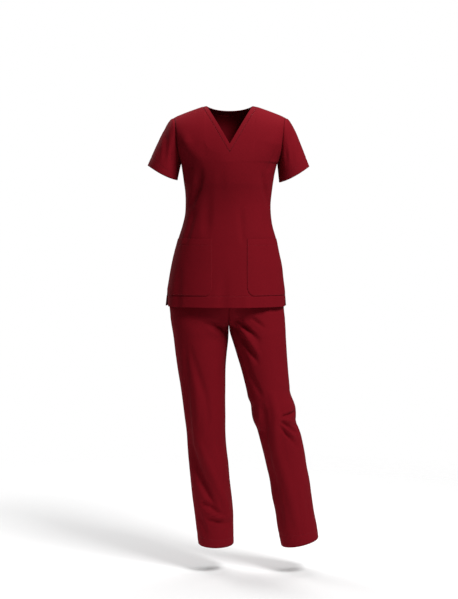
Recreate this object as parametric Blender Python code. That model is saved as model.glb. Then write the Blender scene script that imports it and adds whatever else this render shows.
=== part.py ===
"""Medical scrubs: a V-neck top and straight trousers, held hollow in a standing pose.

Every panel a maker would cut is its own cloth wall.  The garment is drawn as one outer surface
from the tables below, then split at its seams.  Heights in the tables are above the floor, and
the whole set is lowered at the end so that the origin is at the base of the wearer's neck.
+X is the wearer's left, -Y is the front and +Z is up.  Sizes are in metres.
"""
import math

import bpy
import numpy as np
from mathutils import Vector

CLOTH_WALL = 0.0016
SEAM_GAP = 0.0003
POCKET_WALL = 0.0014
HOLD_HEIGHT = 1.455
CENTRE_X = 0.0015
CLOTH_ROUGHNESS = 0.82
BURGUNDY = (0.170, 0.007, 0.016)
BURGUNDY_BAND = (0.160, 0.006, 0.015)
BURGUNDY_POCKET = (0.176, 0.008, 0.017)

# Top
UNDERARM_HEIGHT = 1.290
TOP_HEM_HEIGHT = 0.845
VENT_TOP_HEIGHT = 0.898
VENT_TURN = 0.07
SECTION_POWER = 0.86
NECK_HALF_WIDTH = 0.0717
V_POINT_HEIGHT = 1.346
BACK_NECK_HEIGHT = 1.459
NECKBAND_WIDTH = 0.0135
NECKBAND_DROP_AT_V = 0.0265
NECK_COLUMN = 0.32
BACK_NECK_CURVE = 2.4
POCKET_COLUMN = 0.205
POCKET_HALF_SPAN = 0.0535
POCKET_TOP_HEIGHT = 1.0555
POCKET_BOTTOM_HEIGHT = 0.881
POCKET_LINE_TOP_HEIGHT = 1.16
POINTS_PER_METRE = 1.0e5

# Trousers
WAIST_TOP_HEIGHT = 1.070
WAIST_SEAM_HEIGHT = 1.035
CROTCH_START_HEIGHT = 0.862
LEG_TOP_HEIGHT = 0.812
FORK_HEIGHT = 0.782
FORK_X = -0.0010


class Table:
    """Rows of sizes under named columns, read smoothly along the first column."""

    def __init__(self, columns, *rows):
        self.columns = columns.split()
        self.rows = sorted(rows)

    def slope(self, row, column):
        low = max(row - 1, 0)
        high = min(row + 1, len(self.rows) - 1)
        rise = self.rows[high][column] - self.rows[low][column]
        return rise / (self.rows[high][0] - self.rows[low][0])

    def at(self, value, name):
        column = self.columns.index(name)
        if value <= self.rows[0][0]:
            return self.rows[0][column]
        if value >= self.rows[-1][0]:
            return self.rows[-1][column]
        row = 0
        while self.rows[row + 1][0] < value:
            row += 1
        low = self.rows[row]
        high = self.rows[row + 1]
        span = high[0] - low[0]
        t = (value - low[0]) / span
        ease = t * t * (3.0 - 2.0 * t)
        leave = t * (1.0 - t) ** 2 * span * self.slope(row, column)
        arrive = t * t * (1.0 - t) * span * self.slope(row + 1, column)
        return low[column] + (high[column] - low[column]) * ease + leave - arrive


# Outside of the top: side seams in x, centre front and centre back distances from the side line
TORSO = Table(
    "height right left front back",
    (0.845, -0.2000, 0.1790, 0.134, 0.122),
    (0.881, -0.1960, 0.1760, 0.132, 0.123),
    (0.930, -0.1880, 0.1695, 0.126, 0.121),
    (0.970, -0.1810, 0.1650, 0.120, 0.116),
    (1.010, -0.1720, 0.1565, 0.115, 0.108),
    (1.056, -0.1590, 0.1470, 0.109, 0.098),
    (1.095, -0.1465, 0.1360, 0.104, 0.089),
    (1.130, -0.1385, 0.1310, 0.102, 0.083),
    (1.165, -0.1365, 0.1300, 0.103, 0.082),
    (1.200, -0.1375, 0.1335, 0.109, 0.086),
    (1.230, -0.1415, 0.1375, 0.118, 0.092),
    (1.260, -0.1455, 0.1425, 0.1245, 0.098),
    (1.290, -0.1500, 0.1500, 0.127, 0.104),
)

# Shoulders: turn is 0 at the underarm and 90 degrees on the shoulder seam
SHOULDER = Table(
    "turn edge_x front_edge front_middle back_edge back_middle",
    (0.0, 0.1515, 0.000, 0.127, 0.000, 0.104),
    (8.0, 0.1565, 0.033, 0.124, 0.029, 0.107),
    (15.0, 0.1600, 0.048, 0.119, 0.043, 0.109),
    (30.0, 0.1640, 0.058, 0.104, 0.054, 0.107),
    (45.0, 0.1670, 0.056, 0.083, 0.054, 0.094),
    (60.0, 0.1700, 0.042, 0.056, 0.043, 0.070),
    (75.0, 0.1730, 0.019, 0.026, 0.025, 0.038),
    (90.0, 0.1765, -0.004, -0.004, 0.004, 0.004),
)

SHOULDER_LINE = Table(
    "out height",
    (0.000, 1.477),
    (0.072, 1.470),
    (0.106, 1.460),
    (0.159, 1.440),
    (0.177, 1.431),
)

# Cuff rings of the sleeves, each an oval from its outer to its inner point
CUFFS = {
    "right": {"outer": (-0.2550, 1.284), "inner": (-0.1610, 1.238), "depth": 0.122},
    "left": {"outer": (0.2515, 1.281), "inner": (0.1560, 1.231), "depth": 0.122},
}
SLEEVE_ROWS = (0.0, 0.12, 0.27, 0.46, 0.70, 1.0)
SLEEVE_CAP_RISE = 0.0085
CUFF_SAG = 0.006
SLEEVE_SIDE_RISE = 0.004

# How far the front edge of each side vent sits inside the line of the side seam, at the hem
VENT_INSET = {"right": 0.0080, "left": 0.0035}

# Clearance from the outside of the top to the outside of the trousers
HIP_EASE = Table(
    "height right left front back",
    (0.812, 0.0155, 0.0045, 0.034, 0.016),
    (0.845, 0.0120, 0.0075, 0.030, 0.014),
    (0.872, 0.0080, 0.0065, 0.019, 0.008),
    (0.898, 0.0034, 0.0034, 0.007, 0.0036),
    (0.930, 0.0021, 0.0021, 0.0021, 0.0021),
    (0.962, 0.0021, 0.0021, 0.0021, 0.0021),
    (0.995, 0.0034, 0.0034, 0.0034, 0.0034),
    (1.035, 0.0080, 0.0080, 0.008, 0.0080),
    (1.070, 0.0110, 0.0110, 0.010, 0.0110),
)

# Trouser legs: outseam and inseam in x, y of the side line, and depths before and behind it
LEGS = {
    "right": Table(
        "height outer inner middle front back",
        (0.080, -0.0975, 0.0150, 0.018, 0.065, 0.065),
        (0.142, -0.1050, 0.0140, 0.016, 0.063, 0.066),
        (0.192, -0.1110, 0.0130, 0.013, 0.063, 0.067),
        (0.243, -0.1175, 0.0080, 0.010, 0.064, 0.068),
        (0.293, -0.1225, 0.0020, 0.008, 0.065, 0.069),
        (0.343, -0.1270, -0.0020, 0.004, 0.067, 0.068),
        (0.394, -0.1315, -0.0080, -0.001, 0.070, 0.066),
        (0.444, -0.1345, -0.0115, -0.006, 0.074, 0.065),
        (0.495, -0.1405, -0.0115, -0.008, 0.077, 0.066),
        (0.545, -0.1465, -0.0120, -0.008, 0.080, 0.070),
        (0.595, -0.1535, -0.0115, -0.006, 0.083, 0.075),
        (0.646, -0.1620, -0.0110, -0.004, 0.088, 0.081),
        (0.696, -0.1690, -0.0074, -0.002, 0.093, 0.089),
        (0.722, -0.1720, -0.0043, -0.001, 0.096, 0.093),
        (0.747, -0.1750, -0.0020, 0.000, 0.098, 0.097),
        (0.765, -0.1778, -0.0014, 0.000, 0.100, 0.100),
        (0.780, -0.1805, -0.0012, 0.000, 0.100, 0.103),
        (0.803, -0.1840, -0.0010, 0.000, 0.100, 0.106),
        (0.812, -0.1850, -0.0010, 0.000, 0.100, 0.107),
    ),
    "left": Table(
        "height outer inner middle front back",
        (0.080, 0.2860, 0.1660, 0.002, 0.065, 0.065),
        (0.142, 0.2790, 0.1530, 0.000, 0.063, 0.067),
        (0.192, 0.2690, 0.1460, -0.003, 0.063, 0.068),
        (0.243, 0.2610, 0.1350, -0.008, 0.064, 0.069),
        (0.293, 0.2540, 0.1280, -0.013, 0.065, 0.069),
        (0.343, 0.2440, 0.1165, -0.018, 0.067, 0.068),
        (0.370, 0.2400, 0.1105, -0.021, 0.068, 0.068),
        (0.394, 0.2360, 0.1045, -0.024, 0.070, 0.067),
        (0.420, 0.2305, 0.0980, -0.027, 0.072, 0.066),
        (0.444, 0.2248, 0.0918, -0.030, 0.074, 0.066),
        (0.464, 0.2175, 0.0858, -0.032, 0.076, 0.066),
        (0.484, 0.2090, 0.0765, -0.033, 0.077, 0.067),
        (0.502, 0.2092, 0.0715, -0.033, 0.078, 0.068),
        (0.521, 0.2090, 0.0692, -0.033, 0.079, 0.069),
        (0.540, 0.2048, 0.0668, -0.032, 0.080, 0.071),
        (0.559, 0.1970, 0.0590, -0.030, 0.081, 0.073),
        (0.578, 0.1908, 0.0550, -0.028, 0.083, 0.075),
        (0.595, 0.1896, 0.0512, -0.026, 0.084, 0.077),
        (0.646, 0.1850, 0.0380, -0.019, 0.089, 0.083),
        (0.696, 0.1815, 0.0228, -0.011, 0.094, 0.090),
        (0.722, 0.1800, 0.0148, -0.007, 0.097, 0.094),
        (0.747, 0.1785, 0.0066, -0.004, 0.099, 0.098),
        (0.765, 0.1778, 0.0014, -0.002, 0.101, 0.101),
        (0.780, 0.1770, -0.0006, -0.001, 0.100, 0.103),
        (0.803, 0.1755, -0.0010, 0.000, 0.100, 0.106),
        (0.812, 0.1750, -0.0010, 0.000, 0.100, 0.107),
    ),
}

HEMS = {
    "right": (0.0900, 0.0900),
    "left": (0.1125, 0.0870),
}
HEM_FRONT_DROP = 0.006

# Main folds, as straight soft troughs (depth above 0) or ridges (depth below 0)
FOLD_COLUMNS = ("x_from", "height_from", "x_to", "height_to", "half_width", "depth")
FOLDS = {
    "top_front": (
        (-0.089, 1.255, -0.122, 1.160, 0.030, 0.006),
        (-0.064, 1.165, -0.062, 1.060, 0.030, 0.003),
        (0.102, 1.245, 0.118, 1.185, 0.030, 0.006),
        (-0.150, 1.400, -0.090, 1.305, 0.035, -0.003),
        (0.150, 1.400, 0.095, 1.305, 0.035, -0.003),
    ),
    "top_back": (
        (-0.045, 1.205, -0.052, 1.075, 0.035, 0.005),
        (0.050, 1.195, 0.055, 1.080, 0.035, 0.005),
        (-0.090, 1.330, -0.110, 1.230, 0.035, 0.004),
        (0.092, 1.325, 0.112, 1.220, 0.035, 0.004),
    ),
    "leg_right_front": (
        (-0.132, 0.600, -0.107, 0.370, 0.022, 0.005),
        (-0.107, 0.370, -0.083, 0.275, 0.024, 0.010),
        (-0.060, 0.300, 0.006, 0.165, 0.024, -0.005),
        (-0.057, 0.795, -0.022, 0.755, 0.020, 0.004),
    ),
    "leg_left_front": (
        (0.022, 0.795, 0.085, 0.735, 0.020, 0.006),
        (0.026, 0.765, 0.083, 0.680, 0.020, 0.006),
        (0.052, 0.770, 0.080, 0.740, 0.022, -0.004),
        (0.170, 0.485, 0.205, 0.445, 0.022, 0.008),
        (0.190, 0.500, 0.215, 0.500, 0.018, 0.006),
        (0.150, 0.420, 0.170, 0.160, 0.026, 0.006),
    ),
    "leg_right_back": (
        (-0.110, 0.500, -0.040, 0.445, 0.026, 0.006),
        (-0.050, 0.780, -0.110, 0.700, 0.030, 0.005),
        (-0.030, 0.330, -0.075, 0.200, 0.026, 0.005),
    ),
    "leg_left_back": (
        (0.110, 0.500, 0.185, 0.455, 0.026, 0.009),
        (0.100, 0.540, 0.170, 0.530, 0.026, 0.006),
        (0.040, 0.775, 0.110, 0.690, 0.030, 0.005),
        (0.170, 0.330, 0.220, 0.200, 0.026, 0.005),
    ),
}
FOLD_SEAM_SHARE = 0.13
NEAR_PARALLEL = 0.05
DIAGONAL_RATIO = 1.04

# Column and row lines of the panels
HALF_COLUMNS = (0.0, 0.10, POCKET_COLUMN, 0.265, NECK_COLUMN, 0.46, 0.60, 0.74, 0.87, 1.0)
BODY_ROWS = (TOP_HEM_HEIGHT, POCKET_BOTTOM_HEIGHT, VENT_TOP_HEIGHT, 0.930, 0.962, 0.995, 1.028,
             POCKET_TOP_HEIGHT, 1.090, 1.125, 1.160, 1.195, 1.228, 1.260, UNDERARM_HEIGHT)
UPPER_STEPS = 8
UPPER_CURVE = 1.25
UPPER_PROGRESS = [(step / UPPER_STEPS) ** UPPER_CURVE for step in range(UPPER_STEPS + 1)]
HIP_ROWS = (WAIST_SEAM_HEIGHT, 0.995, 0.962, 0.930, VENT_TOP_HEIGHT, CROTCH_START_HEIGHT)
CROTCH_ROWS = ((0.838, 22.5), (0.815, 45.0), (0.793, 67.5), (0.772, 90.0))
LEG_ROWS = ((0.742, 0.762), (0.708, 0.738), (0.672, 0.711), (0.636, 0.682), (0.600, 0.650),
            (0.572, 0.617), (0.548, 0.586), (0.525, 0.556), (0.502, 0.527), (0.482, 0.500),
            (0.460, 0.472), (0.432, 0.441), (0.400, 0.408), (0.360, 0.367), (0.318, 0.323),
            (0.276, 0.279), (0.234, 0.235), (0.192, 0.188), (0.150, 0.139))


def fold_depth(name, x, height):
    """Depth of the cloth below its plain surface at one place, from the named folds."""
    depth = 0.0
    for row in FOLDS[name]:
        fold = dict(zip(FOLD_COLUMNS, row))
        along_x = fold["x_to"] - fold["x_from"]
        along_z = fold["height_to"] - fold["height_from"]
        off_x = x - fold["x_from"]
        off_z = height - fold["height_from"]
        t = (off_x * along_x + off_z * along_z) / (along_x ** 2 + along_z ** 2)
        t = min(max(t, 0.0), 1.0)
        away = math.hypot(off_x - t * along_x, off_z - t * along_z)
        if away < fold["half_width"]:
            depth += fold["depth"] * (0.5 + 0.5 * math.cos(math.pi * away / fold["half_width"]))
    return depth


def smooth(t):
    """0 to 1 with a level start and end."""
    t = min(max(t, 0.0), 1.0)
    return t * t * (3.0 - 2.0 * t)


def seam_fade(share):
    """1 inside a panel, falling to 0 on the seam; share is the part of the panel to its edge."""
    return smooth(share / FOLD_SEAM_SHARE)


def side_word(u):
    return "right" if u < 0.0 else "left"


def column_turn(u, height):
    """Angle of a column on its section; the pocket columns stand straight up below the waist."""
    across = abs(u)
    reach = abs(TORSO.at(height, side_word(u)) - CENTRE_X)
    upright = math.asin(POCKET_HALF_SPAN / reach) / (0.5 * math.pi)
    blend = (POCKET_LINE_TOP_HEIGHT - height) / (POCKET_LINE_TOP_HEIGHT - POCKET_TOP_HEIGHT)
    blend = min(max(blend, 0.0), 1.0)
    target = POCKET_COLUMN + (upright - POCKET_COLUMN) * blend
    if across < POCKET_COLUMN:
        across = across * target / POCKET_COLUMN
    else:
        across = 1.0 - (1.0 - across) * (1.0 - target) / (1.0 - POCKET_COLUMN)
    return 0.5 * math.pi * across


def body_point(u, height, facing, ease=None, folds=None):
    """Point of the body tube; u is -1 at the right side seam and 1 at the left."""
    turn = column_turn(u, height)
    sign = -1.0 if u < 0.0 else 1.0
    side = TORSO.at(height, side_word(u)) - CENTRE_X
    depth = TORSO.at(height, facing)
    if ease is not None:
        side -= sign * ease.at(height, side_word(u))
        depth -= ease.at(height, facing)
    x = CENTRE_X + side * math.sin(turn)
    forward = depth * max(math.cos(turn), 0.0) ** SECTION_POWER
    if folds is not None:
        sunk = fold_depth(folds, x, height) * seam_fade(1.0 - abs(u))
        x -= sign * sunk * math.sin(turn)
        forward -= sunk * math.cos(turn)
    return Vector((x, -forward if facing == "front" else forward, height))


def chest_depth(facing, turn_degrees, fraction):
    edge = SHOULDER.at(turn_degrees, facing + "_edge")
    middle = SHOULDER.at(turn_degrees, facing + "_middle")
    rise = max(1.0 - fraction * fraction, 0.0) ** (0.5 * SECTION_POWER)
    return edge + (middle - edge) * rise


def shoulder_turn(out, height):
    """Turn in degrees of a place at a distance out from the centre line and a height."""
    climb = (height - UNDERARM_HEIGHT) / (SHOULDER_LINE.at(out, "height") - UNDERARM_HEIGHT)
    return math.degrees(math.asin(min(max(climb, 0.0), 1.0)))


def upper_point(u_sign, fraction, turn_degrees, facing):
    """Point above the underarm from its share of the way out to the armhole and its turn."""
    out = SHOULDER.at(turn_degrees, "edge_x") * fraction
    crest = SHOULDER_LINE.at(out, "height")
    height = UNDERARM_HEIGHT + (crest - UNDERARM_HEIGHT) * math.sin(math.radians(turn_degrees))
    x = CENTRE_X + u_sign * out
    forward = chest_depth(facing, turn_degrees, fraction)
    sunk = fold_depth("top_" + facing, x, height) * seam_fade(1.0 - fraction)
    sunk *= seam_fade(1.0 - turn_degrees / 90.0)
    x -= u_sign * sunk * fraction
    forward -= sunk * math.sqrt(max(1.0 - fraction * fraction, 0.0))
    y = -forward if facing == "front" else forward
    return Vector((x, y, height))


def neck_line(share, facing, finished):
    """Distance out and height of the neck line; share is 0 at the centre and 1 at the shoulder."""
    half = NECK_HALF_WIDTH if finished else NECK_HALF_WIDTH + NECKBAND_WIDTH
    out = half * share
    side_height = SHOULDER_LINE.at(half, "height")
    if facing == "front":
        low = V_POINT_HEIGHT if finished else V_POINT_HEIGHT - NECKBAND_DROP_AT_V
        return out, low + (side_height - low) * share
    low = BACK_NECK_HEIGHT if finished else BACK_NECK_HEIGHT - NECKBAND_WIDTH
    return out, low + (side_height - low) * share ** BACK_NECK_CURVE


def neck_point(share, facing, finished):
    """Point on the neck line; share runs from -1 at the right shoulder to 1 at the left."""
    out, height = neck_line(abs(share), facing, finished)
    turn = 90.0 if abs(share) == 1.0 else shoulder_turn(out, height)
    sign = -1.0 if share < 0.0 else 1.0
    return upper_point(sign, out / SHOULDER.at(turn, "edge_x"), turn, facing)


def column_top(u, facing):
    """Share of the way out and turn where a column of a body panel ends."""
    across = abs(u)
    if across <= NECK_COLUMN:
        share = across / NECK_COLUMN
        out, height = neck_line(share, facing, False)
        turn = 90.0 if share == 1.0 else shoulder_turn(out, height)
        return out / SHOULDER.at(turn, "edge_x"), turn
    neck_share = (NECK_HALF_WIDTH + NECKBAND_WIDTH) / SHOULDER.at(90.0, "edge_x")
    step = (across - NECK_COLUMN) / (1.0 - NECK_COLUMN)
    return neck_share + (1.0 - neck_share) * step, 90.0


def vented(point, u, height, facing):
    """Draw the lowest side edges of the front in from the side line, as the vents lie open."""
    drop = max(VENT_TOP_HEIGHT - height, 0.0) / (VENT_TOP_HEIGHT - TOP_HEM_HEIGHT)
    near = max(abs(u) - HALF_COLUMNS[-3], 0.0) / (1.0 - HALF_COLUMNS[-3])
    if facing == "back" or drop == 0.0 or near == 0.0:
        return point
    inset = VENT_INSET[side_word(u)] * drop * near * near
    return Vector((point.x + (inset if u < 0.0 else -inset), point.y, point.z))


def all_columns():
    return [-u for u in reversed(HALF_COLUMNS[1:])] + list(HALF_COLUMNS)


def body_panel(facing):
    """Rows of points of the front or back of the top, hem first."""
    rows = []
    for height in BODY_ROWS:
        row = []
        for u in all_columns():
            drop = max(VENT_TOP_HEIGHT - height, 0.0) / (VENT_TOP_HEIGHT - TOP_HEM_HEIGHT)
            keep = 1.0 - VENT_TURN * drop if facing == "front" else 1.0
            point = body_point(u * keep, height, facing, folds="top_" + facing)
            row.append(vented(point, u, height, facing))
        rows.append(row)
    for progress in UPPER_PROGRESS[1:]:
        row = []
        for u in all_columns():
            sign = -1.0 if u < 0.0 else 1.0
            start = math.sin(column_turn(u, UNDERARM_HEIGHT))
            end, top_turn = column_top(u, facing)
            fraction = start + (end - start) * progress
            row.append(upper_point(sign, fraction, top_turn * progress, facing))
        rows.append(row)
    return rows


def armhole(side):
    """Armhole loop from the shoulder seam down the front, round the underarm and up the back."""
    sign = -1.0 if side == "right" else 1.0
    turns = [90.0 * progress for progress in reversed(UPPER_PROGRESS[1:])]
    loop = [upper_point(sign, 1.0, turn, "front") for turn in turns]
    loop.append(body_point(sign, UNDERARM_HEIGHT, "front", folds="top_front"))
    loop += [upper_point(sign, 1.0, turn, "back") for turn in reversed(turns[1:])]
    return loop


def sleeve_rows(side):
    """Rows of points of a sleeve, armhole first, each row a closed ring from the shoulder round."""
    cuff = CUFFS[side]
    loop = armhole(side)
    loop.append(loop[0])
    outer = Vector((cuff["outer"][0], 0.0, cuff["outer"][1]))
    inner = Vector((cuff["inner"][0], 0.0, cuff["inner"][1]))
    centre = (outer + inner) * 0.5
    reach = (outer - inner) * 0.5
    lengths = [0.0]
    for before, after in zip(loop, loop[1:]):
        lengths.append(lengths[-1] + (after - before).length)
    underarm = lengths[UPPER_STEPS]
    rows = []
    for along in SLEEVE_ROWS:
        row = []
        for point, length in zip(loop, lengths):
            if length <= underarm:
                angle = math.pi * length / underarm
            else:
                angle = math.pi * (1.0 + (length - underarm) / (lengths[-1] - underarm))
            outward = reach.normalized() * math.cos(angle)
            outward += Vector((0.0, -1.0, 0.0)) * math.sin(angle)
            end = centre + reach * math.cos(angle)
            end += Vector((0.0, -0.5 * cuff["depth"], 0.0)) * math.sin(angle)
            end.z -= CUFF_SAG * math.sin(angle) ** 2
            top_share = max(math.cos(angle), 0.0) ** 2
            side_share = 0.5 + 0.5 * math.cos(angle)
            rise = SLEEVE_SIDE_RISE * side_share + (SLEEVE_CAP_RISE - SLEEVE_SIDE_RISE) * top_share
            swell = rise * math.sin(math.pi * math.sqrt(along))
            row.append(point.lerp(end, along) + outward * swell)
        rows.append(row)
    return rows


def hip_centre(height):
    """Sideways place of the centre seams of the trousers."""
    share = (CROTCH_START_HEIGHT - height) / (CROTCH_START_HEIGHT - FORK_HEIGHT)
    return CENTRE_X + (FORK_X - CENTRE_X) * smooth(share)


def leg_point(side, facing, share, outer_height, inner_height, curl):
    """Point of a trouser leg; share is 0 at the outseam and 1 at the centre seam or inseam.

    curl is 0 on the hips, where a panel turns a quarter round the body, and 90 on the leg,
    where it turns half round the thigh.
    """
    sign = -1.0 if side == "right" else 1.0
    reach = 0.5 * math.pi + math.radians(curl)
    turn = reach * share
    if outer_height >= CROTCH_START_HEIGHT:
        turn = 0.5 * math.pi - column_turn(sign * (1.0 - share), outer_height)
    lateral = (1.0 - math.cos(turn)) / (1.0 - math.cos(reach))
    height = outer_height + (inner_height - outer_height) * lateral
    leg = LEGS[side]
    inner_x = leg.at(inner_height, "inner") if inner_height < FORK_HEIGHT else hip_centre(inner_height)
    hip_side = TORSO.at(outer_height, side) - sign * HIP_EASE.at(outer_height, side)
    outer_x = hip_side if outer_height >= LEG_TOP_HEIGHT else leg.at(outer_height, "outer")
    hip_depth = TORSO.at(height, facing) - HIP_EASE.at(height, facing)
    depth = hip_depth if height >= LEG_TOP_HEIGHT else leg.at(height, facing)
    x = outer_x + (inner_x - outer_x) * lateral
    forward = depth * max(math.sin(turn), 0.0) ** SECTION_POWER
    sunk = fold_depth("leg_" + side + "_" + facing, x, height)
    sunk *= seam_fade(share) * seam_fade(1.0 - share)
    x -= sign * sunk * math.cos(turn)
    forward -= sunk * math.sin(turn)
    if (outer_height, inner_height) == HEMS[side] and facing == "front":
        height -= HEM_FRONT_DROP * math.sin(turn)
    middle = leg.at(height, "middle") if height < LEG_TOP_HEIGHT else 0.0
    y = middle + (-forward if facing == "front" else forward)
    return Vector((x, y, height))


def leg_panel(side, facing):
    """Rows of points of a trouser panel, waist seam first, outseam to centre seam or inseam."""
    shares = [1.0 - u for u in reversed(HALF_COLUMNS)]
    rows = []
    for height in HIP_ROWS:
        rows.append([leg_point(side, facing, share, height, height, 0.0) for share in shares])
    drop = CROTCH_START_HEIGHT - FORK_HEIGHT
    for outer, curl in CROTCH_ROWS:
        inner = FORK_HEIGHT + drop * (1.0 - math.sin(math.radians(curl)))
        rows.append([leg_point(side, facing, share, outer, inner, curl) for share in shares])
    for outer, inner in LEG_ROWS + (HEMS[side],):
        rows.append([leg_point(side, facing, share, outer, inner, 90.0) for share in shares])
    return rows


def waist_row(height):
    """Closed ring of the trouser waist, left side seam first, round the front."""
    ring = [body_point(u, height, "front", HIP_EASE) for u in reversed(all_columns())]
    ring += [body_point(u, height, "back", HIP_EASE) for u in all_columns()[1:]]
    return ring


class Cloth:
    """One outer surface shared by several panels, each given its own wall of cloth."""

    def __init__(self):
        self.points = []
        self.places = {}
        self.panels = {}

    def vertex(self, point):
        key = tuple(round(value * POINTS_PER_METRE) for value in point)
        if key not in self.places:
            self.places[key] = len(self.points)
            self.points.append(Vector(point))
        return self.places[key]

    def grid(self, name, rows, flip=False):
        """Add a patch of faces; outward when rows climb and points run towards +X at the front."""
        ids = [[self.vertex(point) for point in row] for row in rows]
        faces = self.panels.setdefault(name, [])
        middle = (len(ids[0]) - 1) / 2
        for low, high in zip(ids, ids[1:]):
            for k in range(len(low) - 1):
                corners = (low[k], low[k + 1], high[k + 1], high[k])
                for face in self.split(corners, k < middle):
                    if len(set(face)) == 3:
                        faces.append(tuple(reversed(face)) if flip else face)

    def split(self, corners, rising):
        """Two triangles over four corners, across the shorter diagonal when one is much shorter."""
        a, b, c, d = corners
        up = (self.points[c] - self.points[a]).length
        down = (self.points[d] - self.points[b]).length
        if up < down / DIAGONAL_RATIO or (rising and up < down * DIAGONAL_RATIO):
            return (a, b, c), (a, c, d)
        return (a, b, d), (b, c, d)

    def normals(self):
        total = [Vector((0.0, 0.0, 0.0)) for _ in self.points]
        for faces in self.panels.values():
            for face in faces:
                normal = self.face_normal(face).normalized()
                for v, before, after in zip(face, face[-1:] + face[:-1], face[1:] + face[:1]):
                    one = self.points[before] - self.points[v]
                    two = self.points[after] - self.points[v]
                    total[v] += normal * one.angle(two)
        return [normal.normalized() for normal in total]

    def face_normal(self, face):
        total = Vector((0.0, 0.0, 0.0))
        corner = self.points[face[0]]
        for a, b in zip(face[1:], face[2:]):
            total += (self.points[a] - corner).cross(self.points[b] - corner)
        return total

    def rim(self, name):
        """Boundary edges of a panel in the winding of their faces, with the face of each."""
        owners = {}
        for face in self.panels[name]:
            for a, b in zip(face, face[1:] + face[:1]):
                owners.setdefault(frozenset((a, b)), []).append((a, b, face))
        return [found[0] for found in owners.values() if len(found) == 1]

    def seam_shifts(self, name, normals):
        """Small moves that draw the panel back from each seam by half the seam gap."""
        other_edges = set()
        for other in self.panels:
            if other != name:
                other_edges |= {frozenset((a, b)) for a, b, _ in self.rim(other)}
        inward = {}
        for a, b, face in self.rim(name):
            if frozenset((a, b)) not in other_edges:
                continue
            start = self.points[a]
            along = self.points[b] - start
            middle = sum((self.points[v] for v in face), Vector()) / len(face) - start
            for v in (a, b):
                across = along.cross(normals[v]).normalized()
                if across.dot(middle) < 0.0:
                    across.negate()
                inward.setdefault(v, []).append(across)
        shifts = {}
        for v, directions in inward.items():
            rows = np.array([tuple(direction) for direction in directions])
            wanted = np.full(len(directions), 0.5 * SEAM_GAP)
            shifts[v] = Vector(np.linalg.lstsq(rows, wanted, rcond=NEAR_PARALLEL)[0])
        return shifts

    def wall(self, name):
        """Outer points, inner points, faces and rim of a panel as a closed wall."""
        normals = self.normals()
        shifts = self.seam_shifts(name, normals)
        used = sorted({v for face in self.panels[name] for v in face})
        outer = {v: self.points[v] + shifts.get(v, Vector()) for v in used}
        inner = {v: outer[v] - normals[v] * CLOTH_WALL for v in used}
        return outer, inner, self.panels[name], self.rim(name)


def build_object(name, outer, inner, faces, rim, colour):
    """Make one closed cloth wall from its outer and inner points, with its material."""
    order = sorted(outer)
    place = {v: k for k, v in enumerate(order)}
    count = len(order)
    drop = Vector((0.0, 0.0, HOLD_HEIGHT))
    points = [outer[v] - drop for v in order] + [inner[v] - drop for v in order]
    polygons = [tuple(place[v] for v in face) for face in faces]
    polygons += [tuple(place[v] + count for v in reversed(face)) for face in faces]
    sheet_faces = len(polygons)
    for a, b, _ in rim:
        near = place[a]
        far = place[b]
        if a < b:
            polygons += [(far, near, far + count), (near, near + count, far + count)]
        else:
            polygons += [(far, near, near + count), (far, near + count, far + count)]
    mesh = bpy.data.meshes.new(name)
    mesh.from_pydata([tuple(point) for point in points], [], polygons)
    mesh.update()
    for polygon in mesh.polygons:
        polygon.use_smooth = polygon.index < sheet_faces
    material = bpy.data.materials.new(name + "_cloth")
    material.use_nodes = True
    shader = material.node_tree.nodes["Principled BSDF"]
    shader.inputs["Base Color"].default_value = (*colour, 1.0)
    shader.inputs["Roughness"].default_value = CLOTH_ROUGHNESS
    shader.inputs["Metallic"].default_value = 0.0
    mesh.materials.append(material)
    item = bpy.data.objects.new(name, mesh)
    bpy.context.scene.collection.objects.link(item)
    return item


def make_top():
    cloth = Cloth()
    for facing in ("front", "back"):
        cloth.grid("top_" + facing, body_panel(facing), flip=facing == "back")
        shares = [u / NECK_COLUMN for u in all_columns() if abs(u) <= NECK_COLUMN]
        edges = [[neck_point(share, facing, finished) for share in shares]
                 for finished in (False, True)]
        cloth.grid("neckband_" + facing, edges, flip=facing == "back")
    for side in ("right", "left"):
        cloth.grid("sleeve_" + side, sleeve_rows(side), flip=side == "right")
    for name in list(cloth.panels):
        colour = BURGUNDY_BAND if name.startswith("neckband") else BURGUNDY
        build_object(name, *cloth.wall(name), colour)
    make_pockets(cloth)


def make_pockets(cloth):
    """Patch pockets over the faces of the front, moved out, with one lower corner cut round."""
    outer, _, _, _ = cloth.wall("top_front")
    normals = cloth.normals()
    rows = body_panel("front")
    low = BODY_ROWS.index(POCKET_BOTTOM_HEIGHT)
    high = BODY_ROWS.index(POCKET_TOP_HEIGHT)
    middle = len(HALF_COLUMNS) - 1
    first = HALF_COLUMNS.index(POCKET_COLUMN)
    for side, columns in (
        ("right", range(0, middle - first + 1)),
        ("left", range(middle + first, 2 * middle + 1)),
    ):
        corner = (low, middle - first) if side == "right" else (low, middle + first)
        marks = [(row, column) for row in range(low, high + 1) for column in columns]
        covered = {cloth.vertex(rows[row][column]) for row, column in marks if (row, column) != corner}
        patch = Cloth()
        patch.points = cloth.points
        faces = [face for face in cloth.panels["top_front"] if covered.issuperset(face)]
        patch.panels["pocket_" + side] = faces
        used = {v for face in faces for v in face}
        under = {v: outer[v] + normals[v] * SEAM_GAP for v in used}
        over = {v: under[v] + normals[v] * POCKET_WALL for v in used}
        build_object("pocket_" + side, over, under, faces, patch.rim("pocket_" + side), BURGUNDY_POCKET)


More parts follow.
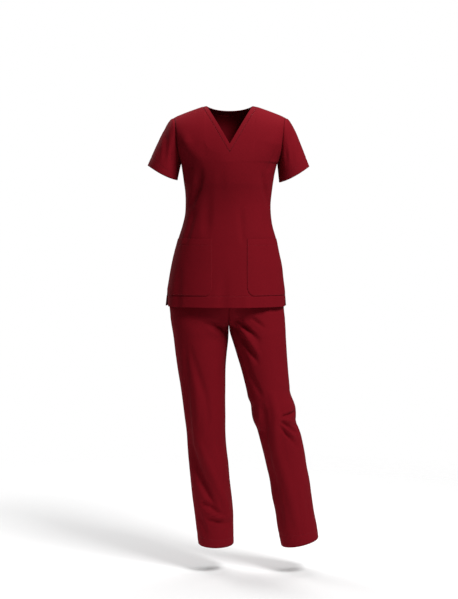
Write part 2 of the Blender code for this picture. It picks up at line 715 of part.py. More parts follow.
def make_trousers():
    cloth = Cloth()
    for side in ("right", "left"):
        for facing in ("front", "back"):
            outward = (side == "left") == (facing == "front")
            cloth.grid("leg_" + side + "_" + facing, leg_panel(side, facing), flip=not outward)
    cloth.grid("waistband", [waist_row(WAIST_TOP_HEIGHT), waist_row(WAIST_SEAM_HEIGHT)])
    for name in list(cloth.panels):
        colour = BURGUNDY_BAND if name == "waistband" else BURGUNDY
        build_object(name, *cloth.wall(name), colour)


for old in list(bpy.data.objects):
    bpy.data.objects.remove(old)
make_top()
make_trousers()
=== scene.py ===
"""Medical scrubs: looks for the V-neck top and straight trousers, laid out as an add-on.

Each cut panel is rebuilt as a thin woven shell on the form of its solid, with its creases
placed one by one.  Tables give heights above the floor; the row frame has its origin at the base
of the wearer's neck.  +X is the wearer's left, -Y the front, +Z up, in metres.
"""

import math

import bpy
import numpy as np
from bpy.props import FloatProperty, IntProperty, PointerProperty
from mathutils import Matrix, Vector, noise


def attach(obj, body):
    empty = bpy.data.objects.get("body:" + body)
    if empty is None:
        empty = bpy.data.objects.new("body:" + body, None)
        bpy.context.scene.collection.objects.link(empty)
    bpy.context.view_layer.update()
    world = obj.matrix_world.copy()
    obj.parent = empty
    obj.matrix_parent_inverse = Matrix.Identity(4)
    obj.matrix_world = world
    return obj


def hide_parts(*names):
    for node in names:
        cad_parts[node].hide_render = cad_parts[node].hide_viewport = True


bl_info = {
    "name": "Medical scrubs",
    "version": (1, 0, 0),
    "blender": (4, 5, 0),
    "location": "3D View > Sidebar > Scrubs",
    "description": "Builds the cloth panels, stitching and studio of a set of medical scrubs",
    "category": "Object",
}

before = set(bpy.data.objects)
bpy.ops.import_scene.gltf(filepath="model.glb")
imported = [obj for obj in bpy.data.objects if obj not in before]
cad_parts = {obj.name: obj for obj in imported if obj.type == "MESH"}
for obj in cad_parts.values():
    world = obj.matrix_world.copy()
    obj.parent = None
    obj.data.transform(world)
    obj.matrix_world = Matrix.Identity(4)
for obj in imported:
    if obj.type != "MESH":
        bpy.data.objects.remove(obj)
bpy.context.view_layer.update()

# The hold point, at the row origin, is this high above the floor
HOLD_HEIGHT = 1.455
CENTRE_X = 0.0015

# Sizes of the top
UNDERARM_HEIGHT = 1.290
TOP_HEM_HEIGHT = 0.845
VENT_TOP_HEIGHT = 0.898
VENT_TURN = 0.07
SECTION_POWER = 0.86
NECK_HALF_WIDTH = 0.0717
V_POINT_HEIGHT = 1.346
BACK_NECK_HEIGHT = 1.459
NECKBAND_WIDTH = 0.0135
NECKBAND_DROP_AT_V = 0.0265
NECK_COLUMN = 0.32
BACK_NECK_CURVE = 2.4
POCKET_COLUMN = 0.205
POCKET_HALF_SPAN = 0.0535
POCKET_TOP_HEIGHT = 1.0555
POCKET_BOTTOM_HEIGHT = 0.881
POCKET_LINE_TOP_HEIGHT = 1.16
POINTS_PER_METRE = 1.0e5
POCKET_CORNER_RADIUS = 0.028
POCKET_HEM = 0.020
TOP_HEM_DEPTH = 0.035
SLEEVE_HEM_SHARE = 0.84
LEG_HEM_DEPTH = 0.028

# Sizes of the trousers
WAIST_TOP_HEIGHT = 1.070
WAIST_SEAM_HEIGHT = 1.035
CROTCH_START_HEIGHT = 0.862
LEG_TOP_HEIGHT = 0.812
FORK_HEIGHT = 0.782
FORK_X = -0.0010

BURGUNDY_HEX = "#76101b"
THREAD_HEX = "#6a101d"
FLOOR_HEX = "#f3f3f3"


class Table:
    """Rows of sizes under named columns, read smoothly along the first column."""

    def __init__(self, columns, *rows):
        self.columns = columns.split()
        self.rows = sorted(rows)

    def slope(self, row, column):
        low = max(row - 1, 0)
        high = min(row + 1, len(self.rows) - 1)
        rise = self.rows[high][column] - self.rows[low][column]
        return rise / (self.rows[high][0] - self.rows[low][0])

    def at(self, value, name):
        column = self.columns.index(name)
        if value <= self.rows[0][0]:
            return self.rows[0][column]
        if value >= self.rows[-1][0]:
            return self.rows[-1][column]
        row = 0
        while self.rows[row + 1][0] < value:
            row += 1
        low = self.rows[row]
        high = self.rows[row + 1]
        span = high[0] - low[0]
        t = (value - low[0]) / span
        ease = t * t * (3.0 - 2.0 * t)
        leave = t * (1.0 - t) ** 2 * span * self.slope(row, column)
        arrive = t * t * (1.0 - t) * span * self.slope(row + 1, column)
        return low[column] + (high[column] - low[column]) * ease + leave - arrive


# Outside of the top: side seams in x, centre front and centre back distances from the side line
TORSO = Table(
    "height right left front back",
    (0.845, -0.2000, 0.1790, 0.134, 0.122),
    (0.881, -0.1960, 0.1760, 0.132, 0.123),
    (0.930, -0.1880, 0.1695, 0.126, 0.121),
    (0.970, -0.1810, 0.1650, 0.120, 0.116),
    (1.010, -0.1720, 0.1565, 0.115, 0.108),
    (1.056, -0.1590, 0.1470, 0.109, 0.098),
    (1.095, -0.1465, 0.1360, 0.104, 0.089),
    (1.130, -0.1385, 0.1310, 0.102, 0.083),
    (1.165, -0.1365, 0.1300, 0.103, 0.082),
    (1.200, -0.1375, 0.1335, 0.109, 0.086),
    (1.230, -0.1415, 0.1375, 0.118, 0.092),
    (1.260, -0.1455, 0.1425, 0.1245, 0.098),
    (1.290, -0.1500, 0.1500, 0.127, 0.104),
)

# Shoulders: turn is 0 at the underarm and 90 degrees on the shoulder seam
SHOULDER = Table(
    "turn edge_x front_edge front_middle back_edge back_middle",
    (0.0, 0.1515, 0.000, 0.127, 0.000, 0.104),
    (8.0, 0.1565, 0.033, 0.124, 0.029, 0.107),
    (15.0, 0.1600, 0.048, 0.119, 0.043, 0.109),
    (30.0, 0.1640, 0.058, 0.104, 0.054, 0.107),
    (45.0, 0.1670, 0.056, 0.083, 0.054, 0.094),
    (60.0, 0.1700, 0.042, 0.056, 0.043, 0.070),
    (75.0, 0.1730, 0.019, 0.026, 0.025, 0.038),
    (90.0, 0.1765, -0.004, -0.004, 0.004, 0.004),
)

SHOULDER_LINE = Table(
    "out height",
    (0.000, 1.477),
    (0.072, 1.470),
    (0.106, 1.460),
    (0.159, 1.440),
    (0.177, 1.431),
)

# Cuff rings of the sleeves, each an oval from its outer to its inner point
CUFFS = {
    "right": {"outer": (-0.2550, 1.284), "inner": (-0.1610, 1.238), "depth": 0.122},
    "left": {"outer": (0.2515, 1.281), "inner": (0.1560, 1.231), "depth": 0.122},
}
SLEEVE_CAP_RISE = 0.0085
SLEEVE_SIDE_RISE = 0.004
CUFF_SAG = 0.006

# How far the front edge of each side vent sits inside the line of the side seam, at the hem
VENT_INSET = {"right": 0.0080, "left": 0.0035}
VENT_NEAR_COLUMN = 0.74

# Clearance from the outside of the top to the outside of the trousers
HIP_EASE = Table(
    "height right left front back",
    (0.812, 0.0155, 0.0045, 0.034, 0.016),
    (0.845, 0.0120, 0.0075, 0.030, 0.014),
    (0.872, 0.0080, 0.0065, 0.019, 0.008),
    (0.898, 0.0034, 0.0034, 0.007, 0.0036),
    (0.930, 0.0021, 0.0021, 0.0021, 0.0021),
    (0.962, 0.0021, 0.0021, 0.0021, 0.0021),
    (0.995, 0.0034, 0.0034, 0.0034, 0.0034),
    (1.035, 0.0080, 0.0080, 0.008, 0.0080),
    (1.070, 0.0110, 0.0110, 0.010, 0.0110),
)

# Trouser legs: outseam and inseam in x, y of the side line, and depths before and behind it
LEGS = {
    "right": Table(
        "height outer inner middle front back",
        (0.080, -0.0975, 0.0150, 0.018, 0.065, 0.065),
        (0.142, -0.1050, 0.0140, 0.016, 0.063, 0.066),
        (0.192, -0.1110, 0.0130, 0.013, 0.063, 0.067),
        (0.243, -0.1175, 0.0080, 0.010, 0.064, 0.068),
        (0.293, -0.1225, 0.0020, 0.008, 0.065, 0.069),
        (0.343, -0.1270, -0.0020, 0.004, 0.067, 0.068),
        (0.394, -0.1315, -0.0080, -0.001, 0.070, 0.066),
        (0.444, -0.1345, -0.0115, -0.006, 0.074, 0.065),
        (0.495, -0.1405, -0.0115, -0.008, 0.077, 0.066),
        (0.545, -0.1465, -0.0120, -0.008, 0.080, 0.070),
        (0.595, -0.1535, -0.0115, -0.006, 0.083, 0.075),
        (0.646, -0.1620, -0.0110, -0.004, 0.088, 0.081),
        (0.696, -0.1690, -0.0074, -0.002, 0.093, 0.089),
        (0.722, -0.1720, -0.0043, -0.001, 0.096, 0.093),
        (0.747, -0.1750, -0.0020, 0.000, 0.098, 0.097),
        (0.765, -0.1778, -0.0014, 0.000, 0.100, 0.100),
        (0.780, -0.1805, -0.0012, 0.000, 0.100, 0.103),
        (0.803, -0.1840, -0.0010, 0.000, 0.100, 0.106),
        (0.812, -0.1850, -0.0010, 0.000, 0.100, 0.107),
    ),
    "left": Table(
        "height outer inner middle front back",
        (0.080, 0.2860, 0.1660, 0.002, 0.065, 0.065),
        (0.142, 0.2790, 0.1530, 0.000, 0.063, 0.067),
        (0.192, 0.2690, 0.1460, -0.003, 0.063, 0.068),
        (0.243, 0.2610, 0.1350, -0.008, 0.064, 0.069),
        (0.293, 0.2540, 0.1280, -0.013, 0.065, 0.069),
        (0.343, 0.2440, 0.1165, -0.018, 0.067, 0.068),
        (0.370, 0.2400, 0.1105, -0.021, 0.068, 0.068),
        (0.394, 0.2360, 0.1045, -0.024, 0.070, 0.067),
        (0.420, 0.2305, 0.0980, -0.027, 0.072, 0.066),
        (0.444, 0.2248, 0.0918, -0.030, 0.074, 0.066),
        (0.464, 0.2175, 0.0858, -0.032, 0.076, 0.066),
        (0.484, 0.2090, 0.0765, -0.033, 0.077, 0.067),
        (0.502, 0.2092, 0.0715, -0.033, 0.078, 0.068),
        (0.521, 0.2090, 0.0692, -0.033, 0.079, 0.069),
        (0.540, 0.2048, 0.0668, -0.032, 0.080, 0.071),
        (0.559, 0.1970, 0.0590, -0.030, 0.081, 0.073),
        (0.578, 0.1908, 0.0550, -0.028, 0.083, 0.075),
        (0.595, 0.1896, 0.0512, -0.026, 0.084, 0.077),
        (0.646, 0.1850, 0.0380, -0.019, 0.089, 0.083),
        (0.696, 0.1815, 0.0228, -0.011, 0.094, 0.090),
        (0.722, 0.1800, 0.0148, -0.007, 0.097, 0.094),
        (0.747, 0.1785, 0.0066, -0.004, 0.099, 0.098),
        (0.765, 0.1778, 0.0014, -0.002, 0.101, 0.101),
        (0.780, 0.1770, -0.0006, -0.001, 0.100, 0.103),
        (0.803, 0.1755, -0.0010, 0.000, 0.100, 0.106),
        (0.812, 0.1750, -0.0010, 0.000, 0.100, 0.107),
    ),
}
HEMS = {"right": (0.0900, 0.0900), "left": (0.1125, 0.0870)}
HEM_FRONT_DROP = 0.006
HIP_ROWS = ((1.035, 0.0), (0.995, 0.0), (0.962, 0.0), (0.930, 0.0), (0.898, 0.0), (0.862, 0.0))
CROTCH_ROWS = ((0.838, 22.5), (0.815, 45.0), (0.793, 67.5), (0.772, 90.0))
LEG_ROWS = ((0.742, 0.762), (0.708, 0.738), (0.672, 0.711), (0.636, 0.682), (0.600, 0.650),
            (0.572, 0.617), (0.548, 0.586), (0.525, 0.556), (0.502, 0.527), (0.482, 0.500),
            (0.460, 0.472), (0.432, 0.441), (0.400, 0.408), (0.360, 0.367), (0.318, 0.323),
            (0.276, 0.279), (0.234, 0.235), (0.192, 0.188), (0.150, 0.139))

# Creases as paths of (x, height, half width, depth): a trough has depth above 0, a ridge below 0
FOLDS = {
    "top_front": (
        ((-0.082, 1.272, 0.012, 0.0), (-0.089, 1.248, 0.016, 0.0085), (-0.099, 1.212, 0.018, 0.0105),
         (-0.112, 1.178, 0.017, 0.0060), (-0.122, 1.140, 0.014, 0.0)),
        ((0.100, 1.264, 0.012, 0.0), (0.104, 1.245, 0.013, 0.006), (0.112, 1.205, 0.014, 0.008),
         (0.119, 1.168, 0.013, 0.005), (0.124, 1.145, 0.013, 0.0)),
        ((-0.062, 1.205, 0.018, 0.0), (-0.067, 1.150, 0.024, 0.0034), (-0.070, 1.098, 0.024, 0.0034),
         (-0.072, 1.050, 0.018, 0.0)),
        ((0.034, 1.160, 0.014, 0.0), (0.037, 1.120, 0.015, 0.0026), (0.041, 1.060, 0.014, 0.0030),
         (0.044, 1.030, 0.012, 0.0)),
        ((-0.146, 1.395, 0.018, 0.0), (-0.128, 1.347, 0.022, -0.0050), (-0.095, 1.310, 0.024, -0.0050),
         (-0.060, 1.285, 0.022, 0.0)),
        ((0.146, 1.390, 0.018, 0.0), (0.126, 1.345, 0.022, -0.0035), (0.098, 1.312, 0.024, -0.0030),
         (0.070, 1.292, 0.020, 0.0)),
        ((-0.155, 1.350, 0.010, 0.0), (-0.138, 1.312, 0.013, 0.0050), (-0.120, 1.276, 0.013, 0.0040),
         (-0.110, 1.262, 0.010, 0.0)),
        ((0.154, 1.345, 0.010, 0.0), (0.137, 1.305, 0.012, 0.0044), (0.122, 1.272, 0.012, 0.0036),
         (0.113, 1.258, 0.010, 0.0)),
        ((-0.106, 1.150, 0.012, 0.0), (-0.112, 1.125, 0.014, 0.0030), (-0.130, 1.060, 0.014, 0.0030),
         (-0.138, 1.020, 0.014, 0.0)),
        ((0.104, 1.145, 0.012, 0.0), (0.110, 1.110, 0.013, 0.0026), (0.128, 1.050, 0.014, 0.0028),
         (0.136, 1.010, 0.014, 0.0)),
        ((-0.018, 1.275, 0.020, 0.0), (-0.022, 1.230, 0.024, 0.0016), (-0.026, 1.160, 0.022, 0.0)),
        ((-0.150, 0.985, 0.014, 0.0), (-0.156, 0.930, 0.018, 0.0024), (-0.160, 0.845, 0.020, 0.0032)),
        ((-0.014, 0.970, 0.020, 0.0), (-0.017, 0.910, 0.024, 0.0018), (-0.020, 0.845, 0.026, 0.0028)),
        ((0.122, 0.960, 0.016, 0.0), (0.128, 0.900, 0.018, 0.0020), (0.132, 0.845, 0.020, 0.0028)),
        ((0.050, 0.930, 0.018, 0.0), (0.053, 0.845, 0.020, -0.0022)),
    ),
    "top_back": (
        ((-0.040, 1.215, 0.016, 0.0), (-0.046, 1.180, 0.022, 0.0050), (-0.051, 1.110, 0.022, 0.0048),
         (-0.053, 1.066, 0.018, 0.0)),
        ((0.046, 1.208, 0.016, 0.0), (0.051, 1.170, 0.022, 0.0055), (0.054, 1.110, 0.022, 0.0050),
         (0.056, 1.070, 0.018, 0.0)),
        ((-0.088, 1.352, 0.014, 0.0), (-0.096, 1.320, 0.020, 0.0048), (-0.110, 1.240, 0.020, 0.0040),
         (-0.116, 1.210, 0.016, 0.0)),
        ((0.086, 1.342, 0.014, 0.0), (0.095, 1.305, 0.018, 0.0050), (0.111, 1.230, 0.019, 0.0042),
         (0.117, 1.200, 0.016, 0.0)),
        ((0.003, 1.190, 0.014, 0.0), (0.002, 1.150, 0.018, 0.0026), (0.000, 1.085, 0.016, 0.0)),
        ((-0.104, 1.180, 0.010, 0.0), (-0.078, 1.158, 0.014, 0.0036), (-0.040, 1.138, 0.012, 0.0)),
        ((0.098, 1.168, 0.010, 0.0), (0.070, 1.150, 0.014, 0.0034), (0.032, 1.132, 0.012, 0.0)),
        ((-0.138, 1.395, 0.014, 0.0), (-0.108, 1.390, 0.020, -0.0034), (-0.068, 1.402, 0.016, 0.0)),
        ((0.138, 1.392, 0.014, 0.0), (0.108, 1.386, 0.020, -0.0034), (0.068, 1.398, 0.016, 0.0)),
        ((-0.125, 1.030, 0.016, 0.0), (-0.134, 0.950, 0.020, 0.0028), (-0.140, 0.845, 0.022, 0.0036)),
        ((0.110, 1.020, 0.016, 0.0), (0.117, 0.940, 0.020, 0.0028), (0.122, 0.845, 0.022, 0.0034)),
        ((-0.030, 1.000, 0.020, 0.0), (-0.034, 0.930, 0.026, 0.0024), (-0.038, 0.845, 0.026, 0.0034)),
        ((0.045, 0.960, 0.020, 0.0), (0.048, 0.845, 0.024, -0.0028)),
    ),
    "leg_right_front": (
        ((-0.136, 0.745, 0.012, 0.0), (-0.135, 0.700, 0.014, 0.0034), (-0.133, 0.600, 0.015, 0.0055),
         (-0.129, 0.500, 0.015, 0.0080), (-0.124, 0.411, 0.018, 0.0120), (-0.104, 0.342, 0.021, 0.0165),
         (-0.082, 0.290, 0.021, 0.0160), (-0.057, 0.240, 0.018, 0.0105), (-0.036, 0.210, 0.012, 0.0)),
        ((-0.102, 0.460, 0.014, 0.0), (-0.092, 0.411, 0.020, -0.0040), (-0.064, 0.345, 0.022, -0.0072),
         (-0.038, 0.292, 0.022, -0.0082), (-0.014, 0.235, 0.019, -0.0078), (0.002, 0.186, 0.015, -0.0048),
         (0.007, 0.160, 0.012, 0.0)),
        ((-0.094, 0.229, 0.010, 0.0), (-0.080, 0.226, 0.014, 0.0085), (-0.057, 0.214, 0.015, 0.0120),
         (-0.034, 0.199, 0.012, 0.0085), (-0.016, 0.187, 0.009, 0.0)),
        ((-0.074, 0.180, 0.009, 0.0), (-0.056, 0.175, 0.012, 0.0080), (-0.025, 0.167, 0.012, 0.0095),
         (0.000, 0.161, 0.011, 0.0056), (0.010, 0.157, 0.009, 0.0)),
        ((-0.088, 0.207, 0.008, 0.0), (-0.060, 0.194, 0.009, -0.0044), (-0.030, 0.182, 0.009, -0.0044),
         (-0.008, 0.176, 0.008, 0.0)),
        ((-0.084, 0.801, 0.008, 0.0), (-0.065, 0.799, 0.011, 0.0048), (-0.040, 0.793, 0.012, 0.0080),
         (-0.021, 0.779, 0.012, 0.0080), (-0.009, 0.762, 0.010, 0.0050), (-0.006, 0.740, 0.008, 0.0)),
        ((-0.085, 0.782, 0.014, 0.0), (-0.060, 0.776, 0.017, -0.0034), (-0.034, 0.757, 0.016, -0.0034),
         (-0.022, 0.735, 0.012, 0.0)),
        ((-0.126, 0.738, 0.012, 0.0), (-0.113, 0.690, 0.016, 0.0034), (-0.092, 0.625, 0.018, 0.0046),
         (-0.072, 0.562, 0.018, 0.0046), (-0.066, 0.500, 0.016, 0.0032), (-0.067, 0.455, 0.012, 0.0)),
        ((-0.114, 0.650, 0.012, 0.0), (-0.103, 0.590, 0.015, -0.0030), (-0.097, 0.520, 0.015, -0.0032),
         (-0.096, 0.455, 0.012, 0.0)),
        ((-0.100, 0.208, 0.010, 0.0), (-0.091, 0.175, 0.013, 0.0048), (-0.079, 0.148, 0.013, 0.0048),
         (-0.070, 0.115, 0.012, 0.0)),
        ((-0.042, 0.450, 0.012, 0.0), (-0.034, 0.410, 0.014, 0.0026), (-0.020, 0.350, 0.013, 0.0)),
        ((-0.020, 0.720, 0.010, 0.0), (-0.016, 0.660, 0.012, 0.0028), (-0.018, 0.590, 0.010, 0.0)),
    ),
    "leg_left_front": (
        ((0.004, 0.820, 0.008, 0.0), (0.022, 0.806, 0.011, 0.0060), (0.045, 0.788, 0.012, 0.0082),
         (0.067, 0.768, 0.012, 0.0078), (0.086, 0.747, 0.011, 0.0046), (0.098, 0.730, 0.009, 0.0)),
        ((0.012, 0.808, 0.008, 0.0), (0.032, 0.785, 0.011, -0.0056), (0.053, 0.757, 0.012, -0.0074),
         (0.073, 0.729, 0.012, -0.0064), (0.088, 0.706, 0.010, -0.0036), (0.096, 0.690, 0.009, 0.0)),
        ((0.008, 0.798, 0.008, 0.0), (0.022, 0.774, 0.012, 0.0078), (0.042, 0.744, 0.014, 0.0112),
         (0.062, 0.714, 0.014, 0.0104), (0.079, 0.688, 0.012, 0.0064), (0.092, 0.664, 0.009, 0.0)),
        ((0.060, 0.820, 0.007, 0.0), (0.076, 0.807, 0.009, 0.0068), (0.095, 0.792, 0.009, 0.0066),
         (0.112, 0.778, 0.008, 0.0)),
        ((0.032, 0.813, 0.006, 0.0), (0.046, 0.801, 0.008, -0.0050), (0.062, 0.784, 0.009, -0.0052),
         (0.080, 0.765, 0.008, 0.0)),
        ((0.036, 0.722, 0.010, 0.0), (0.048, 0.690, 0.013, 0.0040), (0.060, 0.647, 0.014, 0.0060),
         (0.078, 0.612, 0.014, 0.0064), (0.093, 0.583, 0.013, 0.0046), (0.103, 0.560, 0.010, 0.0)),
        ((0.158, 0.506, 0.006, 0.0), (0.171, 0.509, 0.009, 0.0070), (0.190, 0.513, 0.009, 0.0080),
         (0.208, 0.518, 0.009, 0.0060)),
        ((0.156, 0.497, 0.006, 0.0), (0.167, 0.488, 0.009, 0.0066), (0.185, 0.475, 0.009, 0.0092),
         (0.203, 0.459, 0.009, 0.0070), (0.216, 0.448, 0.008, 0.0)),
        ((0.150, 0.487, 0.007, 0.0), (0.161, 0.473, 0.010, 0.0056), (0.178, 0.453, 0.010, 0.0086),
         (0.195, 0.432, 0.010, 0.0066), (0.215, 0.409, 0.009, 0.0030), (0.224, 0.400, 0.008, 0.0)),
        ((0.164, 0.500, 0.006, 0.0), (0.184, 0.494, 0.008, -0.0048), (0.206, 0.484, 0.008, -0.0030)),
        ((0.162, 0.481, 0.006, 0.0), (0.182, 0.464, 0.008, -0.0048), (0.202, 0.445, 0.008, -0.0030)),
        ((0.126, 0.590, 0.016, 0.0), (0.138, 0.548, 0.022, -0.0050), (0.146, 0.508, 0.024, -0.0080),
         (0.142, 0.465, 0.020, -0.0060), (0.147, 0.400, 0.022, -0.0052), (0.170, 0.325, 0.024, -0.0052),
         (0.191, 0.250, 0.024, -0.0044), (0.210, 0.175, 0.020, -0.0030), (0.218, 0.140, 0.014, 0.0)),
        ((0.098, 0.560, 0.012, 0.0), (0.106, 0.520, 0.017, 0.0070), (0.108, 0.470, 0.019, 0.0110),
         (0.112, 0.420, 0.018, 0.0080), (0.126, 0.350, 0.018, 0.0070), (0.142, 0.290, 0.018, 0.0070),
         (0.154, 0.235, 0.017, 0.0056), (0.162, 0.190, 0.015, 0.0044), (0.170, 0.140, 0.012, 0.0)),
        ((0.150, 0.740, 0.014, 0.0), (0.154, 0.680, 0.018, 0.0022), (0.156, 0.600, 0.016, 0.0)),
        ((0.240, 0.270, 0.010, 0.0), (0.248, 0.210, 0.012, 0.0034), (0.256, 0.130, 0.012, 0.0)),
        ((0.086, 0.470, 0.008, 0.0), (0.098, 0.455, 0.010, 0.0050), (0.112, 0.430, 0.009, 0.0)),
    ),
    "leg_right_back": (
        ((-0.118, 0.508, 0.009, 0.0), (-0.092, 0.484, 0.013, 0.0070), (-0.055, 0.456, 0.013, 0.0070),
         (-0.034, 0.444, 0.010, 0.0)),
        ((-0.022, 0.528, 0.009, 0.0), (-0.048, 0.508, 0.012, 0.0062), (-0.080, 0.482, 0.012, 0.0050),
         (-0.100, 0.468, 0.009, 0.0)),
        ((-0.112, 0.466, 0.009, 0.0), (-0.085, 0.440, 0.012, 0.0052), (-0.052, 0.412, 0.010, 0.0)),
        ((-0.024, 0.800, 0.010, 0.0), (-0.050, 0.778, 0.015, 0.0064), (-0.090, 0.742, 0.015, 0.0050),
         (-0.112, 0.720, 0.012, 0.0)),
        ((-0.020, 0.770, 0.010, 0.0), (-0.040, 0.742, 0.014, 0.0056), (-0.072, 0.698, 0.014, 0.0044),
         (-0.088, 0.672, 0.011, 0.0)),
        ((-0.026, 0.352, 0.012, 0.0), (-0.038, 0.310, 0.016, 0.0056), (-0.066, 0.232, 0.016, 0.0056),
         (-0.080, 0.190, 0.012, 0.0)),
        ((-0.092, 0.340, 0.012, 0.0), (-0.084, 0.280, 0.015, 0.0044), (-0.062, 0.170, 0.014, 0.0)),
        ((-0.086, 0.178, 0.008, 0.0), (-0.058, 0.162, 0.011, 0.0060), (-0.018, 0.146, 0.009, 0.0)),
        ((-0.078, 0.640, 0.014, 0.0), (-0.082, 0.600, 0.017, 0.0030), (-0.080, 0.540, 0.014, 0.0)),
    ),
    "leg_left_back": (
        ((0.098, 0.512, 0.009, 0.0), (0.122, 0.494, 0.012, 0.0085), (0.160, 0.470, 0.012, 0.0090),
         (0.190, 0.452, 0.009, 0.0)),
        ((0.088, 0.540, 0.009, 0.0), (0.115, 0.532, 0.012, 0.0066), (0.150, 0.526, 0.012, 0.0060),
         (0.178, 0.524, 0.009, 0.0)),
        ((0.112, 0.476, 0.009, 0.0), (0.140, 0.458, 0.012, 0.0066), (0.172, 0.434, 0.011, 0.0050),
         (0.196, 0.420, 0.009, 0.0)),
        ((0.100, 0.520, 0.008, 0.0), (0.136, 0.505, 0.010, -0.0046), (0.172, 0.488, 0.008, 0.0)),
        ((0.022, 0.792, 0.010, 0.0), (0.050, 0.768, 0.015, 0.0064), (0.090, 0.730, 0.015, 0.0050),
         (0.112, 0.706, 0.012, 0.0)),
        ((0.030, 0.758, 0.010, 0.0), (0.052, 0.732, 0.014, 0.0056), (0.080, 0.696, 0.013, 0.0044),
         (0.096, 0.672, 0.011, 0.0)),
        ((0.158, 0.378, 0.012, 0.0), (0.174, 0.335, 0.016, 0.0056), (0.204, 0.245, 0.016, 0.0054),
         (0.220, 0.200, 0.012, 0.0)),
        ((0.176, 0.240, 0.009, 0.0), (0.200, 0.216, 0.012, 0.0060), (0.240, 0.178, 0.010, 0.0)),
        ((0.100, 0.660, 0.014, 0.0), (0.112, 0.620, 0.017, 0.0030), (0.124, 0.570, 0.014, 0.0)),
    ),
    "sleeve_right": (
        ((-0.1900, 1.405, 0.010, 0.0), (-0.1925, 1.365, 0.013, 0.0034), (-0.1975, 1.315, 0.013, 0.0026),
         (-0.2000, 1.285, 0.010, 0.0)),
        ((-0.1770, 1.350, 0.008, 0.0), (-0.1790, 1.310, 0.010, 0.0026), (-0.1820, 1.270, 0.010, 0.0)),
        ((-0.2120, 1.365, 0.008, 0.0), (-0.2160, 1.325, 0.010, 0.0014), (-0.2210, 1.290, 0.009, 0.0)),
    ),
    "sleeve_left": (
        ((0.1890, 1.400, 0.010, 0.0), (0.1915, 1.355, 0.013, 0.0026), (0.1960, 1.310, 0.012, 0.0022),
         (0.1990, 1.275, 0.010, 0.0)),
        ((0.2100, 1.360, 0.009, 0.0), (0.2140, 1.325, 0.011, 0.0016), (0.2180, 1.290, 0.009, 0.0)),
        ((0.1760, 1.350, 0.008, 0.0), (0.1770, 1.315, 0.009, 0.0026), (0.1790, 1.275, 0.009, 0.0)),
    ),
}
FOLD_SEAM_SHARE = 0.10


def smooth(t):
    t = min(max(t, 0.0), 1.0)
    return t * t * (3.0 - 2.0 * t)


def crease_depth(path, x, height):
    """Depth of one crease at a place, from the nearest point of its path."""
    nearest = None
    for (x_a, z_a, half_a, depth_a), (x_b, z_b, half_b, depth_b) in zip(path, path[1:]):
        along_x = x_b - x_a
        along_z = z_b - z_a
        t = ((x - x_a) * along_x + (height - z_a) * along_z) / (along_x ** 2 + along_z ** 2)
        t = min(max(t, 0.0), 1.0)
        away = math.hypot(x - x_a - t * along_x, height - z_a - t * along_z)
        if nearest is None or away < nearest[0]:
            nearest = (away, half_a + (half_b - half_a) * t, depth_a + (depth_b - depth_a) * t)
    away, half, depth = nearest
    if away >= half:
        return 0.0
    return depth * (0.5 + 0.5 * math.cos(math.pi * away / half))


def fold_depth(name, x, height):
    """Depth of the cloth below its plain surface at one place, from the creases of its panel."""
    return sum(crease_depth(path, x, height) for path in FOLDS[name]) * settings().fold_strength


def seam_fade(share):
    """1 inside a panel, falling to 0 on the seam; share is the part of the panel to its edge."""
    return smooth(share / FOLD_SEAM_SHARE)


def drape(x, y, height, seed):
    """Shallow uneven drape of soft cloth, longer down than across."""
    broad = noise.noise(Vector((x * 14.0, y * 14.0, height * 6.0 + seed)))
    close = noise.noise(Vector((x * 34.0, y * 34.0, height * 17.0 - seed)))
    return settings().drape_depth * (broad + 0.35 * close)


def settings():
    return bpy.context.scene.scrubs


def side_word(u):
    return "right" if u < 0.0 else "left"


def column_turn(u, height):
    """Angle of a column on its section; the pocket columns stand straight up below the waist."""
    across = abs(u)
    reach = abs(TORSO.at(height, side_word(u)) - CENTRE_X)
    upright = math.asin(POCKET_HALF_SPAN / reach) / (0.5 * math.pi)
    blend = (POCKET_LINE_TOP_HEIGHT - height) / (POCKET_LINE_TOP_HEIGHT - POCKET_TOP_HEIGHT)
    blend = min(max(blend, 0.0), 1.0)
    target = POCKET_COLUMN + (upright - POCKET_COLUMN) * blend
    if across < POCKET_COLUMN:
        across = across * target / POCKET_COLUMN
    else:
        across = 1.0 - (1.0 - across) * (1.0 - target) / (1.0 - POCKET_COLUMN)
    return 0.5 * math.pi * across


def body_point(u, height, facing, ease=None, folds=None):
    """Point of the body tube; u is -1 at the right side seam and 1 at the left."""
    turn = column_turn(u, height)
    sign = -1.0 if u < 0.0 else 1.0
    side = TORSO.at(height, side_word(u)) - CENTRE_X
    depth = TORSO.at(height, facing)
    if ease is not None:
        side -= sign * ease.at(height, side_word(u))
        depth -= ease.at(height, facing)
    x = CENTRE_X + side * math.sin(turn)
    forward = depth * max(math.cos(turn), 0.0) ** SECTION_POWER
    if folds is not None:
        sunk = fold_depth(folds, x, height) + drape(x, forward, height, len(folds))
        sunk *= seam_fade(1.0 - abs(u))
        x -= sign * sunk * math.sin(turn)
        forward -= sunk * math.cos(turn)
    return Vector((x, -forward if facing == "front" else forward, height))


def chest_depth(facing, turn_degrees, fraction):
    edge = SHOULDER.at(turn_degrees, facing + "_edge")
    middle = SHOULDER.at(turn_degrees, facing + "_middle")
    rise = max(1.0 - fraction * fraction, 0.0) ** (0.5 * SECTION_POWER)
    return edge + (middle - edge) * rise


def shoulder_turn(out, height):
    """Turn in degrees of a place at a distance out from the centre line and a height."""
    climb = (height - UNDERARM_HEIGHT) / (SHOULDER_LINE.at(out, "height") - UNDERARM_HEIGHT)
    return math.degrees(math.asin(min(max(climb, 0.0), 1.0)))


